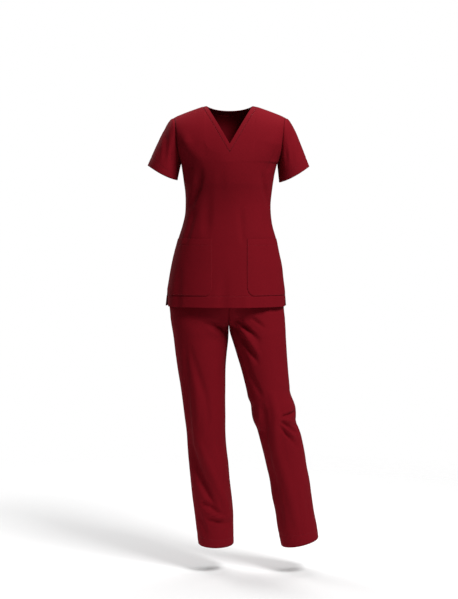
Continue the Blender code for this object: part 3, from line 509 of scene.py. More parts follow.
def upper_point(sign, fraction, turn_degrees, facing):
    """Point above the underarm from its share of the way out to the armhole and its turn."""
    out = SHOULDER.at(turn_degrees, "edge_x") * fraction
    crest = SHOULDER_LINE.at(out, "height")
    height = UNDERARM_HEIGHT + (crest - UNDERARM_HEIGHT) * math.sin(math.radians(turn_degrees))
    x = CENTRE_X + sign * out
    forward = chest_depth(facing, turn_degrees, fraction)
    name = "top_" + facing
    sunk = fold_depth(name, x, height) + drape(x, forward, height, len(name))
    sunk *= seam_fade(1.0 - fraction) * seam_fade(1.0 - turn_degrees / 90.0)
    x -= sign * sunk * fraction
    forward -= sunk * math.sqrt(max(1.0 - fraction * fraction, 0.0))
    return Vector((x, -forward if facing == "front" else forward, height))


def neck_line(share, facing, finished):
    """Distance out and height of the neck line; share is 0 at the centre and 1 at the shoulder."""
    half = NECK_HALF_WIDTH if finished else NECK_HALF_WIDTH + NECKBAND_WIDTH
    out = half * share
    side_height = SHOULDER_LINE.at(half, "height")
    if facing == "front":
        low = V_POINT_HEIGHT if finished else V_POINT_HEIGHT - NECKBAND_DROP_AT_V
        return out, low + (side_height - low) * share
    low = BACK_NECK_HEIGHT if finished else BACK_NECK_HEIGHT - NECKBAND_WIDTH
    return out, low + (side_height - low) * share ** BACK_NECK_CURVE


def neck_point(share, facing, finished):
    """Point on the neck line; share runs from -1 at the right shoulder to 1 at the left."""
    out, height = neck_line(abs(share), facing, finished)
    turn = 90.0 if abs(share) == 1.0 else shoulder_turn(out, height)
    sign = -1.0 if share < 0.0 else 1.0
    return upper_point(sign, out / SHOULDER.at(turn, "edge_x"), turn, facing)


def column_top(u, facing):
    """Share of the way out and turn where a column of a body panel ends."""
    across = abs(u)
    if across <= NECK_COLUMN:
        share = across / NECK_COLUMN
        out, height = neck_line(share, facing, False)
        turn = 90.0 if share == 1.0 else shoulder_turn(out, height)
        return out / SHOULDER.at(turn, "edge_x"), turn
    neck_share = (NECK_HALF_WIDTH + NECKBAND_WIDTH) / SHOULDER.at(90.0, "edge_x")
    step = (across - NECK_COLUMN) / (1.0 - NECK_COLUMN)
    return neck_share + (1.0 - neck_share) * step, 90.0


def spread(marks, step):
    """Values from the first mark to the last that keep every mark, about one step apart."""
    values = [marks[0]]
    for low, high in zip(marks, marks[1:]):
        count = max(1, round(abs(high - low) / step))
        values += [low + (high - low) * k / count for k in range(1, count)] + [high]
    return values


def body_columns():
    half = spread((0.0, POCKET_COLUMN, NECK_COLUMN, 1.0), settings().column_step)
    return [-u for u in reversed(half[1:])] + half


def front_point(u, height, facing):
    """Outside of the top below the underarm, with its vents drawn open at the front edges."""
    drop = max(VENT_TOP_HEIGHT - height, 0.0) / (VENT_TOP_HEIGHT - TOP_HEM_HEIGHT)
    if facing == "back":
        return body_point(u, height, facing, folds="top_back")
    point = body_point(u * (1.0 - VENT_TURN * drop), height, facing, folds="top_front")
    near = max(abs(u) - VENT_NEAR_COLUMN, 0.0) / (1.0 - VENT_NEAR_COLUMN)
    inset = VENT_INSET[side_word(u)] * drop * near * near
    point.x += inset if u < 0.0 else -inset
    return point


STITCH_GROOVE = 0.0006
GROOVE_STEPS = (-0.004, -0.0014, 0.0, 0.0014, 0.004)


def groove(distance):
    """Depth that a stitched line pulls the cloth in, by the distance from the line."""
    return STITCH_GROOVE * math.exp(-(distance / 0.0016) ** 2)


# Rows either side of the underarm that are eased, how often, and the columns kept at each seam
EASE_ROWS = 13
EASE_PASSES = 70
EASE_EDGE_COLUMNS = 6.0


def body_rows(facing):
    """Rows of points of the front or back of the top, hem first, and each row's sink."""
    hem_line = TOP_HEM_HEIGHT + TOP_HEM_DEPTH
    heights = spread((TOP_HEM_HEIGHT, TOP_HEM_HEIGHT + 0.0015, hem_line - 0.006), settings().grid_step)
    heights += [hem_line + step for step in GROOVE_STEPS]
    heights += spread((hem_line + 0.007, VENT_TOP_HEIGHT, UNDERARM_HEIGHT), settings().grid_step)
    columns = body_columns()
    rows = [[front_point(u, height, facing) for u in columns] for height in heights]
    sinks = [groove(height - hem_line) for height in heights]
    for progress in upper_progress()[1:]:
        row = []
        for u in columns:
            sign = -1.0 if u < 0.0 else 1.0
            start = math.sin(column_turn(u, UNDERARM_HEIGHT))
            end, top_turn = column_top(u, facing)
            row.append(upper_point(sign, start + (end - start) * progress, top_turn * progress, facing))
        rows.append(row)
        sinks.append(0.0)
    ease_underarm(rows, len(heights) - 1)
    return rows, sinks


def ease_underarm(rows, level):
    """Ease the front or back over the underarm level, clear of the side seams."""
    low = max(level - EASE_ROWS, 1)
    high = min(level + EASE_ROWS, len(rows) - 2)
    across = len(rows[0]) - 1
    for _ in range(EASE_PASSES):
        depths = [[point.y for point in row] for row in rows]
        for r in range(low, high + 1):
            for c in range(across + 1):
                keep = smooth(min(c, across - c) / EASE_EDGE_COLUMNS)
                below = (rows[r][c] - rows[r - 1][c]).length
                share = below / (below + (rows[r + 1][c] - rows[r][c]).length)
                middle = depths[r - 1][c] + (depths[r + 1][c] - depths[r - 1][c]) * share
                rows[r][c].y += (middle - rows[r][c].y) * 0.5 * keep


def upper_progress():
    count = settings().upper_rows
    return [(step / count) ** 1.25 for step in range(count + 1)]


def armhole(side):
    """Armhole loop from the shoulder seam down the front, round the underarm and up the back."""
    sign = -1.0 if side == "right" else 1.0
    turns = [90.0 * progress for progress in reversed(upper_progress()[1:])]
    loop = [upper_point(sign, 1.0, turn, "front") for turn in turns]
    loop.append(front_point(sign, UNDERARM_HEIGHT, "front"))
    return loop + [upper_point(sign, 1.0, turn, "back") for turn in reversed(turns)]


def sleeve_rows(side):
    """Rows of points of a sleeve, armhole first, each row a closed ring from the shoulder round."""
    cuff = CUFFS[side]
    loop = armhole(side)
    outer = Vector((cuff["outer"][0], 0.0, cuff["outer"][1]))
    inner = Vector((cuff["inner"][0], 0.0, cuff["inner"][1]))
    centre = (outer + inner) * 0.5
    reach = (outer - inner) * 0.5
    lengths = [0.0]
    for before, after in zip(loop, loop[1:]):
        lengths.append(lengths[-1] + (after - before).length)
    underarm = lengths[len(loop) // 2]
    rows = []
    sinks = []
    for along in spread((0.0, 0.8), 0.03) + spread((0.81, SLEEVE_HEM_SHARE, 0.9, 0.985, 1.0), 0.03):
        row = []
        for point, length in zip(loop, lengths):
            if length <= underarm:
                angle = math.pi * length / underarm
            else:
                angle = math.pi * (1.0 + (length - underarm) / (lengths[-1] - underarm))
            outward = reach.normalized() * math.cos(angle)
            outward += Vector((0.0, -1.0, 0.0)) * math.sin(angle)
            end = centre + reach * math.cos(angle)
            end += Vector((0.0, -0.5 * cuff["depth"], 0.0)) * math.sin(angle)
            end.z -= CUFF_SAG * math.sin(angle) ** 2
            top_share = max(math.cos(angle), 0.0) ** 2
            side_share = 0.5 + 0.5 * math.cos(angle)
            rise = SLEEVE_SIDE_RISE * side_share + (SLEEVE_CAP_RISE - SLEEVE_SIDE_RISE) * top_share
            swell = rise * math.sin(math.pi * math.sqrt(along))
            place = point.lerp(end, along)
            sunk = fold_depth("sleeve_" + side, place.x, place.z) + drape(*place, len(side))
            swell -= sunk * smooth(along / 0.15)
            row.append(place + outward * swell)
        rows.append(row)
        sinks.append(STITCH_GROOVE if abs(along - SLEEVE_HEM_SHARE) < 0.001 else 0.0)
    return rows, sinks


def hip_centre(height):
    """Sideways place of the centre seams of the trousers."""
    share = (CROTCH_START_HEIGHT - height) / (CROTCH_START_HEIGHT - FORK_HEIGHT)
    return CENTRE_X + (FORK_X - CENTRE_X) * smooth(share)


def leg_point(side, facing, share, outer_height, inner_height, curl, at_hem=0.0):
    """Point of a trouser leg; share is 0 at the outseam and 1 at the centre seam or inseam.

    curl is 0 on the hips, where a panel turns a quarter round the body, and 90 on the leg,
    where it turns half round the thigh.
    """
    sign = -1.0 if side == "right" else 1.0
    reach = 0.5 * math.pi + math.radians(curl)
    turn = reach * share
    if outer_height >= CROTCH_START_HEIGHT:
        turn = 0.5 * math.pi - column_turn(sign * (1.0 - share), outer_height)
    lateral = (1.0 - math.cos(turn)) / (1.0 - math.cos(reach))
    height = outer_height + (inner_height - outer_height) * lateral
    leg = LEGS[side]
    inner_x = leg.at(inner_height, "inner") if inner_height < FORK_HEIGHT else hip_centre(inner_height)
    hip_side = TORSO.at(outer_height, side) - sign * HIP_EASE.at(outer_height, side)
    outer_x = hip_side if outer_height >= LEG_TOP_HEIGHT else leg.at(outer_height, "outer")
    hip_depth = TORSO.at(height, facing) - HIP_EASE.at(height, facing)
    depth = hip_depth if height >= LEG_TOP_HEIGHT else leg.at(height, facing)
    x = outer_x + (inner_x - outer_x) * lateral
    forward = depth * max(math.sin(turn), 0.0) ** SECTION_POWER
    name = "leg_" + side + "_" + facing
    sunk = fold_depth(name, x, height) * seam_fade(share) * seam_fade(1.0 - share)
    if outer_height < CROTCH_START_HEIGHT:
        sunk += drape(x, forward, height, len(name)) * seam_fade(share) * seam_fade(1.0 - share)
    x -= sign * sunk * math.cos(turn)
    forward -= sunk * math.sin(turn)
    if facing == "front":
        height -= HEM_FRONT_DROP * at_hem * math.sin(turn)
    middle = leg.at(height, "middle") if height < LEG_TOP_HEIGHT else 0.0
    return Vector((x, middle + (-forward if facing == "front" else forward), height))


def leg_lines(side):
    """Outer height, inner height and curl of each row of a trouser leg, waist seam first."""
    lines = [(height, height, curl) for height, curl in HIP_ROWS]
    drop = CROTCH_START_HEIGHT - FORK_HEIGHT
    marks = [(CROTCH_START_HEIGHT, 0.0)] + list(CROTCH_ROWS)
    fine = []
    for (outer_a, curl_a), (outer_b, curl_b) in zip(marks, marks[1:]):
        for k in range(1, 6):
            outer = outer_a + (outer_b - outer_a) * k / 5
            curl = curl_a + (curl_b - curl_a) * k / 5
            inner = FORK_HEIGHT + drop * (1.0 - math.sin(math.radians(curl)))
            fine.append((outer, inner, curl))
    pairs = [(CROTCH_ROWS[-1][0], FORK_HEIGHT)] + list(LEG_ROWS) + [HEMS[side]]
    outers = Table("row outer inner", *[(k, outer, inner) for k, (outer, inner) in enumerate(pairs)])
    hips = []
    for (height_a, _, _), (height_b, _, _) in zip(lines, lines[1:]):
        hips += [(height_a + (height_b - height_a) * k / 4, 0.0) for k in range(4)]
    hips.append((CROTCH_START_HEIGHT, 0.0))
    rows = [(height, height, curl, 0.0) for height, curl in hips]
    rows += [(outer, inner, curl, 0.0) for outer, inner, curl in fine]
    last = len(pairs) - 1
    drop_start = 0.2126
    for row in spread((0.0, last), settings().leg_row_step)[1:]:
        outer = outers.at(row, "outer")
        inner = outers.at(row, "inner")
        near_hem = smooth(1.0 - (outer - HEMS[side][0]) / drop_start)
        rows.append((outer, inner, 90.0, near_hem ** 3))
    return rows


def leg_rows(side, facing):
    """Rows of points of a trouser panel, waist seam first, and each row's sink."""
    shares = spread((0.0, 1.0), settings().column_step)
    rows = []
    sinks = []
    for outer, inner, curl, at_hem in leg_lines(side):
        rows.append([leg_point(side, facing, share, outer, inner, curl, at_hem) for share in shares])
        sinks.append(groove(outer - HEMS[side][0] - LEG_HEM_DEPTH))
    return rows, sinks


def waist_row(height):
    """Closed ring of the trouser waist, left side seam first, round the front."""
    columns = body_columns()
    ring = [body_point(u, height, "front", HIP_EASE) for u in reversed(columns)]
    return ring + [body_point(u, height, "back", HIP_EASE) for u in columns[1:]]


class Cloth:
    """One outer surface shared by several panels, each given its own thin shell of cloth."""

    def __init__(self):
        self.points = []
        self.sinks = []
        self.places = {}
        self.panels = {}
        self.lines = {}

    def vertex(self, point, sink=0.0):
        key = tuple(round(value * POINTS_PER_METRE) for value in point)
        if key not in self.places:
            self.places[key] = len(self.points)
            self.points.append(tuple(point))
            self.sinks.append(sink)
        return self.places[key]

    def grid(self, name, rows, sinks=None, flip=False):
        """Add a patch of faces with its weave coordinates in metres, across and along."""
        sinks = sinks or [0.0] * len(rows)
        ids = [[self.vertex(point, sink) for point in row] for row, sink in zip(rows, sinks)]
        place = np.array([[tuple(point) for point in row] for row in rows])
        across = np.zeros(place.shape[:2])
        across[:, 1:] = np.cumsum(np.linalg.norm(np.diff(place, axis=1), axis=2), axis=1)
        across -= across[:, place.shape[1] // 2][:, None]
        along = np.zeros(place.shape[:2])
        along[1:, :] = np.cumsum(np.linalg.norm(np.diff(place, axis=0), axis=2), axis=0)
        faces, weave = self.panels.setdefault(name, ([], []))
        self.lines[name] = ids
        for r in range(len(ids) - 1):
            for c in range(len(ids[0]) - 1):
                marks = [(r, c), (r, c + 1), (r + 1, c + 1), (r + 1, c)]
                if flip:
                    marks.reverse()
                face = []
                uv = []
                for a, b in marks:
                    if ids[a][b] not in face:
                        face.append(ids[a][b])
                        uv.append((across[a, b], along[a, b]))
                if len(face) > 2:
                    faces.append(tuple(face))
                    weave.append(uv)

    def normals(self):
        points = np.array(self.points)
        total = np.zeros_like(points)
        for faces, _ in self.panels.values():
            for count in (3, 4):
                block = np.array([face for face in faces if len(face) == count], dtype=int)
                if not len(block):
                    continue
                one = points[block[:, count - 2]] - points[block[:, 0]]
                two = points[block[:, count - 1]] - points[block[:, 1]]
                normal = np.cross(one, two)
                normal /= np.maximum(np.linalg.norm(normal, axis=1), 1e-12)[:, None]
                for k in range(count):
                    np.add.at(total, block[:, k], normal)
        return total / np.maximum(np.linalg.norm(total, axis=1), 1e-12)[:, None]

    def rim(self, name):
        """Boundary edges of a panel in the winding of their faces, with the face of each."""
        owners = {}
        for face in self.panels[name][0]:
            for a, b in zip(face, face[1:] + face[:1]):
                owners.setdefault((min(a, b), max(a, b)), []).append((a, b, face))
        return [found[0] for found in owners.values() if len(found) == 1]

    def finish(self):
        """Work out normals and seam edges once all panels are in."""
        self.place = np.array(self.points)
        self.normal = self.normals()
        self.rims = {name: self.rim(name) for name in self.panels}
        count = {}
        for rim in self.rims.values():
            for a, b, _ in rim:
                key = (min(a, b), max(a, b))
                count[key] = count.get(key, 0) + 1
        self.seams = {key for key, uses in count.items() if uses > 1}
        return self

    def shell(self, name, wall):
        """Outer and inner points, faces, weave coordinates and rim of one panel."""
        faces, weave = self.panels[name]
        used = sorted({v for face in faces for v in face})
        outer = {v: Vector(self.place[v] - self.normal[v] * self.sinks[v]) for v in used}
        shift = {}
        for a, b, face in self.rims[name]:
            if (min(a, b), max(a, b)) not in self.seams:
                continue
            middle = Vector(self.place[list(face)].mean(axis=0) - self.place[a])
            along = Vector(self.place[b] - self.place[a])
            for v in (a, b):
                across = along.cross(Vector(self.normal[v])).normalized()
                if across.dot(middle) < 0.0:
                    across.negate()
                shift.setdefault(v, []).append(across)
        for v, ways in shift.items():
            draw = sum(ways, Vector()) / len(ways) * 0.5 * SEAM_GAP
            outer[v] += draw - Vector(self.normal[v]) * SEAM_SINK
        inner = {v: outer[v] - Vector(self.normal[v]) * wall for v in used}
        return outer, inner, faces, weave, self.rims[name]


SEAM_GAP = 0.0003
SEAM_SINK = 0.00030
SURFACES = {}


def top_surface():
    """The whole outer surface of the top, made once and shared by its operators."""
    if "top" in SURFACES:
        return SURFACES["top"]
    cloth = Cloth()
    for facing in ("front", "back"):
        rows, sinks = body_rows(facing)
        cloth.grid("top_" + facing, rows, sinks, flip=facing == "back")
        shares = [u / NECK_COLUMN for u in body_columns() if abs(u) <= NECK_COLUMN]
        seam = [neck_point(share, facing, False) for share in shares]
        edge = [neck_point(share, facing, True) for share in shares]
        band = [[a.lerp(b, step) for a, b in zip(seam, edge)] for step in (0.0, 0.12, 0.5, 0.9, 1.0)]
        cloth.grid("neckband_" + facing, band, [0.0, 0.0, -0.0001, 0.0, 0.0003], flip=facing == "back")
    for side in ("right", "left"):
        rows, sinks = sleeve_rows(side)
        cloth.grid("sleeve_" + side, rows, sinks, flip=side == "right")
    SURFACES["top"] = cloth.finish()
    return SURFACES["top"]


def trouser_surface():
    """The whole outer surface of the trousers."""
    if "trousers" in SURFACES:
        return SURFACES["trousers"]
    cloth = Cloth()
    for side in ("right", "left"):
        for facing in ("front", "back"):
            outward = (side == "left") == (facing == "front")
            rows, sinks = leg_rows(side, facing)
            cloth.grid("leg_" + side + "_" + facing, rows, sinks, flip=not outward)
    SURFACES["trousers"] = cloth.finish()
    return SURFACES["trousers"]


def waist_surface():
    """The elastic waistband, a ring with small even gathers."""
    cloth = Cloth()
    rows = []
    for height in spread((WAIST_TOP_HEIGHT, WAIST_SEAM_HEIGHT + 0.0003), 0.004):
        ring = waist_row(height)
        bulge = math.sin(math.pi * (height - WAIST_SEAM_HEIGHT) / (WAIST_TOP_HEIGHT - WAIST_SEAM_HEIGHT))
        row = []
        for k, point in enumerate(ring):
            out = Vector((point.x, point.y, 0.0)).normalized()
            row.append(point - out * 0.0012 * (0.5 + 0.5 * math.cos(math.pi * k)) * max(bulge, 0.0))
        rows.append(row)
    cloth.grid("waistband", rows)
    return cloth.finish()


def linear(hexadecimal):
    """Linear colour from an sRGB hex code."""
    values = [int(hexadecimal[k:k + 2], 16) / 255.0 for k in (1, 3, 5)]
    return tuple(v / 12.92 if v <= 0.04045 else ((v + 0.055) / 1.055) ** 2.4 for v in values) + (1.0,)


def add_node(tree, kind, values=None, links=None, **fields):
    """Add a node, set its fields and input values, and link sockets into it."""
    node = tree.nodes.new(kind)
    for field, value in fields.items():
        setattr(node, field, value)
    for key, value in (values or {}).items():
        node.inputs[key].default_value = value
    for key, socket in (links or {}).items():
        tree.links.new(socket, node.inputs[key])
    return node


def woven_material(name, colour, seed):
    """Matte plain-woven poly-cotton: fine crossed threads, soft uneven dye and a low sheen."""
    material = bpy.data.materials.new(name)
    material.use_nodes = True
    tree = material.node_tree
    tree.nodes.clear()
    weave = add_node(tree, "ShaderNodeUVMap", uv_map="weave")
    place = add_node(tree, "ShaderNodeTexCoord")
    split = add_node(tree, "ShaderNodeSeparateXYZ", links={0: weave.outputs["UV"]})
    # Threads really lie 0.4 mm apart; they are drawn 1.1 mm apart so that they still read
    across = thread_wave(tree, split.outputs["X"], 0.0011)
    along = thread_wave(tree, split.outputs["Y"], 0.0011)
    crossed = add_node(tree, "ShaderNodeMath", links={0: across, 1: along}, operation="MULTIPLY")
    slub = add_node(tree, "ShaderNodeTexNoise", {"Scale": 1.0, "Detail": 3.0, "Roughness": 0.6},
                    noise_dimensions="3D")
    stretch = add_node(tree, "ShaderNodeMapping", {"Scale": (900.0, 140.0, 1.0)},
                       {"Vector": weave.outputs["UV"]})
    tree.links.new(stretch.outputs["Vector"], slub.inputs["Vector"])
    # Dye takes a little unevenly over a hand's breadth
    dye = add_node(tree, "ShaderNodeTexNoise", {"Scale": 7.0, "Detail": 4.0, "Roughness": 0.55, "W": seed},
                   {"Vector": place.outputs["Object"]}, noise_dimensions="4D")
    base = linear(colour)
    light = tuple(min(value * 1.10, 1.0) for value in base[:3]) + (1.0,)
    dark = tuple(value * 0.90 for value in base[:3]) + (1.0,)
    tone = add_node(tree, "ShaderNodeMix", links={0: dye.outputs["Fac"]}, data_type="RGBA")
    tone.inputs[6].default_value = dark
    tone.inputs[7].default_value = light
    threads = add_node(tree, "ShaderNodeMapRange", {"To Min": 0.93, "To Max": 1.05},
                       {"Value": crossed.outputs[0]})
    specks = add_node(tree, "ShaderNodeMapRange", {"From Min": 0.3, "From Max": 0.7, "To Min": 0.95,
                                                   "To Max": 1.05}, {"Value": slub.outputs["Fac"]})
    shade = add_node(tree, "ShaderNodeMath", links={0: threads.outputs[0], 1: specks.outputs[0]},
                     operation="MULTIPLY")
    tinted = add_node(tree, "ShaderNodeMix", {0: 1.0}, {6: tone.outputs[2], 7: shade.outputs[0]},
                      data_type="RGBA", blend_type="MULTIPLY")
    # The crossed threads stand up a little, which breaks the highlight into a matte grain
    relief = add_node(tree, "ShaderNodeBump", {"Strength": 0.25, "Distance": 0.0003},
                      {"Height": crossed.outputs[0]})
    rough = add_node(tree, "ShaderNodeMapRange", {"To Min": 0.78, "To Max": 0.88},
                     {"Value": dye.outputs["Fac"]})
    shader = add_node(tree, "ShaderNodeBsdfPrincipled", {
        "Specular IOR Level": 0.04, "Sheen Weight": 0.02, "Sheen Roughness": 0.45,
        "Sheen Tint": linear("#d8707a")}, {
        "Base Color": tinted.outputs[2], "Roughness": rough.outputs[0], "Normal": relief.outputs[0]})
    out = add_node(tree, "ShaderNodeOutputMaterial")
    tree.links.new(shader.outputs[0], out.inputs[0])
    return material


def thread_wave(tree, socket, spacing):
    """A 0 to 1 wave across parallel threads at the given spacing in metres."""
    turn = add_node(tree, "ShaderNodeMath", {1: 2.0 * math.pi / spacing}, {0: socket}, operation="MULTIPLY")
    wave = add_node(tree, "ShaderNodeMath", links={0: turn.outputs[0]}, operation="SINE")
    raised = add_node(tree, "ShaderNodeMapRange", {"From Min": -1.0, "From Max": 1.0},
                      {"Value": wave.outputs[0]})
    return raised.outputs[0]


def thread_material():
    """Spun polyester thread: the cloth's own colour, a little darker and smoother."""
    if "spun_thread" in bpy.data.materials:
        return bpy.data.materials["spun_thread"]
    material = bpy.data.materials.new("spun_thread")
    material.use_nodes = True
    tree = material.node_tree
    shader = tree.nodes["Principled BSDF"]
    place = add_node(tree, "ShaderNodeTexCoord")
    twist = add_node(tree, "ShaderNodeTexNoise", {"Scale": 900.0, "Detail": 2.0},
                     {"Vector": place.outputs["Object"]})
    tone = add_node(tree, "ShaderNodeMix", links={0: twist.outputs["Fac"]}, data_type="RGBA")
    tone.inputs[6].default_value = linear(THREAD_HEX)
    tone.inputs[7].default_value = linear(BURGUNDY_HEX)
    tree.links.new(tone.outputs[2], shader.inputs["Base Color"])
    shader.inputs["Roughness"].default_value = 0.6
    shader.inputs["Specular IOR Level"].default_value = 0.35
    return material


def make_mesh(name, points, faces, weave=None, smooth_count=None):
    mesh = bpy.data.meshes.new(name)
    mesh.from_pydata([tuple(point) for point in points], [], faces)
    mesh.update()
    flags = [True] * len(mesh.polygons)
    if smooth_count is not None:
        flags = [k < smooth_count for k in range(len(mesh.polygons))]
    mesh.polygons.foreach_set("use_smooth", flags)
    if weave is not None:
        layer = mesh.uv_layers.new(name="weave")
        layer.data.foreach_set("uv", [value for face in weave for uv in face for value in uv])
    item = bpy.data.objects.new(name, mesh)
    bpy.context.scene.collection.objects.link(item)
    return item


def make_shell(name, shell, material):
    """A closed thin shell: outside faces, inside faces and the cut edge all round."""
    outer, inner, faces, weave, rim = shell
    order = sorted(outer)
    place = {v: k for k, v in enumerate(order)}
    count = len(order)
    drop = Vector((0.0, 0.0, HOLD_HEIGHT))
    points = [outer[v] - drop for v in order] + [inner[v] - drop for v in order]
    polygons = [tuple(place[v] for v in face) for face in faces]
    polygons += [tuple(place[v] + count for v in reversed(face)) for face in faces]
    uvs = list(weave) + [list(reversed(uv)) for uv in weave]
    both = len(polygons)
    for a, b, _ in rim:
        polygons.append((place[b], place[a], place[a] + count, place[b] + count))
        uvs.append([(0.0, 0.0), (0.004, 0.0), (0.004, 0.001), (0.0, 0.001)])
    item = make_mesh(name, points, polygons, uvs, both)
    item.data.materials.append(material)
    return item


def stitch_tree():
    """Geometry Nodes group that lays stitches end to end along an edge path."""
    if "stitch_row" in bpy.data.node_groups:
        return bpy.data.node_groups["stitch_row"]
    tree = bpy.data.node_groups.new("stitch_row", "GeometryNodeTree")
    face = tree.interface
    face.new_socket("Path", in_out="INPUT", socket_type="NodeSocketGeometry")
    face.new_socket("Stitch spacing", in_out="INPUT", socket_type="NodeSocketFloat")
    face.new_socket("Stitch length", in_out="INPUT", socket_type="NodeSocketFloat")
    face.new_socket("Thread radius", in_out="INPUT", socket_type="NodeSocketFloat")
    face.new_socket("Thread", in_out="INPUT", socket_type="NodeSocketMaterial")
    face.new_socket("Seed", in_out="INPUT", socket_type="NodeSocketInt")
    face.new_socket("Stitches", in_out="OUTPUT", socket_type="NodeSocketGeometry")
    given = add_node(tree, "NodeGroupInput")
    path = add_node(tree, "GeometryNodeMeshToCurve", links={"Mesh": given.outputs["Path"]})
    points = add_node(tree, "GeometryNodeCurveToPoints", links={
        "Curve": path.outputs[0], "Length": given.outputs["Stitch spacing"]}, mode="LENGTH")
    stitch = add_node(tree, "GeometryNodeMeshUVSphere", {"Segments": 6, "Rings": 4, "Radius": 0.5})
    tie = add_node(tree, "FunctionNodeRandomValue", {2: 0.88, 3: 1.08},
                   {"Seed": given.outputs["Seed"]}, data_type="FLOAT")
    long = add_node(tree, "ShaderNodeMath", links={0: given.outputs["Stitch length"], 1: tie.outputs[1]},
                    operation="MULTIPLY")
    width = add_node(tree, "ShaderNodeMath", {1: 2.0}, {0: given.outputs["Thread radius"]},
                     operation="MULTIPLY")
    size = add_node(tree, "ShaderNodeCombineXYZ", links={
        "X": width.outputs[0], "Y": width.outputs[0], "Z": long.outputs[0]})
    laid = add_node(tree, "GeometryNodeInstanceOnPoints", links={
        "Points": points.outputs["Points"], "Instance": stitch.outputs["Mesh"],
        "Rotation": points.outputs["Rotation"], "Scale": size.outputs[0]})
    real = add_node(tree, "GeometryNodeRealizeInstances", links={0: laid.outputs[0]})
    paint = add_node(tree, "GeometryNodeSetMaterial", links={
        "Geometry": real.outputs[0], "Material": given.outputs["Thread"]})
    add_node(tree, "NodeGroupOutput", links={0: paint.outputs[0]})
    return tree


def make_stitches(name, paths):
    """One mesh of all the stitches on a piece, from paths of points in the row frame."""
    points = []
    edges = []
    for path in paths:
        start = len(points)
        points += [tuple(point) for point in path]
        edges += [(start + k, start + k + 1) for k in range(len(path) - 1)]
    guide_mesh = bpy.data.meshes.new(name + "_guide")
    guide_mesh.from_pydata(points, edges, [])
    guide = bpy.data.objects.new(name + "_guide", guide_mesh)
    bpy.context.scene.collection.objects.link(guide)
    tree = stitch_tree()
    layer = guide.modifiers.new("stitches", "NODES")
    layer.node_group = tree
    sizes = {"Stitch spacing": settings().stitch_spacing, "Stitch length": settings().stitch_length,
             "Thread radius": settings().thread_radius, "Thread": thread_material(),
             "Seed": settings().seed}
    for socket in tree.interface.items_tree:
        if socket.in_out == "INPUT" and socket.name in sizes:
            layer[socket.identifier] = sizes[socket.name]
    guide.update_tag()
    bpy.context.view_layer.update()
    graph = bpy.context.evaluated_depsgraph_get()
    mesh = bpy.data.meshes.new_from_object(guide.evaluated_get(graph), depsgraph=graph)
    mesh.name = name
    if not mesh.polygons:
        raise RuntimeError("no stitches were laid for " + name)
    mesh.polygons.foreach_set("use_smooth", [True] * len(mesh.polygons))
    bpy.data.objects.remove(guide)
    item = bpy.data.objects.new(name, mesh)
    bpy.context.scene.collection.objects.link(item)
    if not item.data.materials:
        item.data.materials.append(thread_material())
    return item


def lift(cloth, ids, out):
    """Row-frame points over vertices of a surface, moved out from it."""
    drop = np.array((0.0, 0.0, HOLD_HEIGHT))
    return [cloth.place[v] + cloth.normal[v] * (out - cloth.sinks[v]) - drop for v in ids]


def nearest_row(cloth, name, height):
    """The row of a panel whose middle point is nearest to a height."""
    ids = cloth.lines[name]
    middle = len(ids[0]) // 2
    return min(range(len(ids)), key=lambda r: abs(cloth.place[ids[r][middle]][2] - height))


def add_piece(item, node, stitches=None):
    """Tie a cloth piece to the root body and hide its node's part, with its stitching riding along."""
    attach(item, "root")
    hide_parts(node)
    if stitches is not None:
        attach(stitches, "root")
    return item


class ScrubsSizes(bpy.types.PropertyGroup):
    """Sizes that set how finely and how softly the cloth is made."""

    cloth_wall: FloatProperty(
        name="Cloth wall", description="Thickness of the cloth shell", default=0.0011,
        subtype="DISTANCE", unit="LENGTH")
    grid_step: FloatProperty(
        name="Grid step", description="Height of one row of faces on the body", default=0.0045,
        subtype="DISTANCE", unit="LENGTH")
    column_step: FloatProperty(
        name="Column step", description="Share of a half panel that one column takes",
        default=0.0225, subtype="FACTOR")
    leg_row_step: FloatProperty(
        name="Leg row step", description="Share of a table row that one leg row takes",
        default=0.15, subtype="FACTOR")
    upper_rows: IntProperty(
        name="Upper rows", description="Rows of faces from the underarm to the shoulder seam",
        default=44)
    fold_strength: FloatProperty(
        name="Fold strength", description="Scale on the depth of every placed crease",
        default=1.0, subtype="FACTOR")
    drape_depth: FloatProperty(
        name="Drape depth", description="Depth of the shallow uneven drape between the creases",
        default=0.0011, subtype="DISTANCE", unit="LENGTH")
    stitch_spacing: FloatProperty(
        name="Stitch spacing", description="From one stitch to the next", default=0.0030,
        subtype="DISTANCE", unit="LENGTH")
    stitch_length: FloatProperty(
        name="Stitch length", description="Length of one stitch that shows", default=0.0024,
        subtype="DISTANCE", unit="LENGTH")
    thread_radius: FloatProperty(
        name="Thread radius", description="Half the width of the sewing thread", default=0.00022,
        subtype="DISTANCE", unit="LENGTH")
    seed: IntProperty(name="Seed", description="Seed of the small stitch variation", default=7)


class SCRUBS_OT_body_panels(bpy.types.Operator):
    """Make the front and back of the top, with deep stitched hems and side vents"""

    bl_idname = "scrubs.body_panels"
    bl_label = "Front and back of the top"

    def execute(self, context):
        cloth = top_surface()
        for number, facing in enumerate(("front", "back")):
            name = "top_" + facing
            material = woven_material("woven_burgundy_" + name, BURGUNDY_HEX, 1.0 + number)
            item = make_shell(name + "_cloth", cloth.shell(name, settings().cloth_wall), material)
            ids = cloth.lines[name]
            hem = nearest_row(cloth, name, TOP_HEM_HEIGHT + TOP_HEM_DEPTH)
            paths = [lift(cloth, ids[hem], 0.0001)]
            paths += vent_stitches(cloth, ids, hem)
            paths.append(lift(cloth, neck_topstitch(ids), 0.0001))
            stitches = make_stitches(name + "_stitches", paths)
            add_piece(item, name, stitches=stitches)
        return {"FINISHED"}


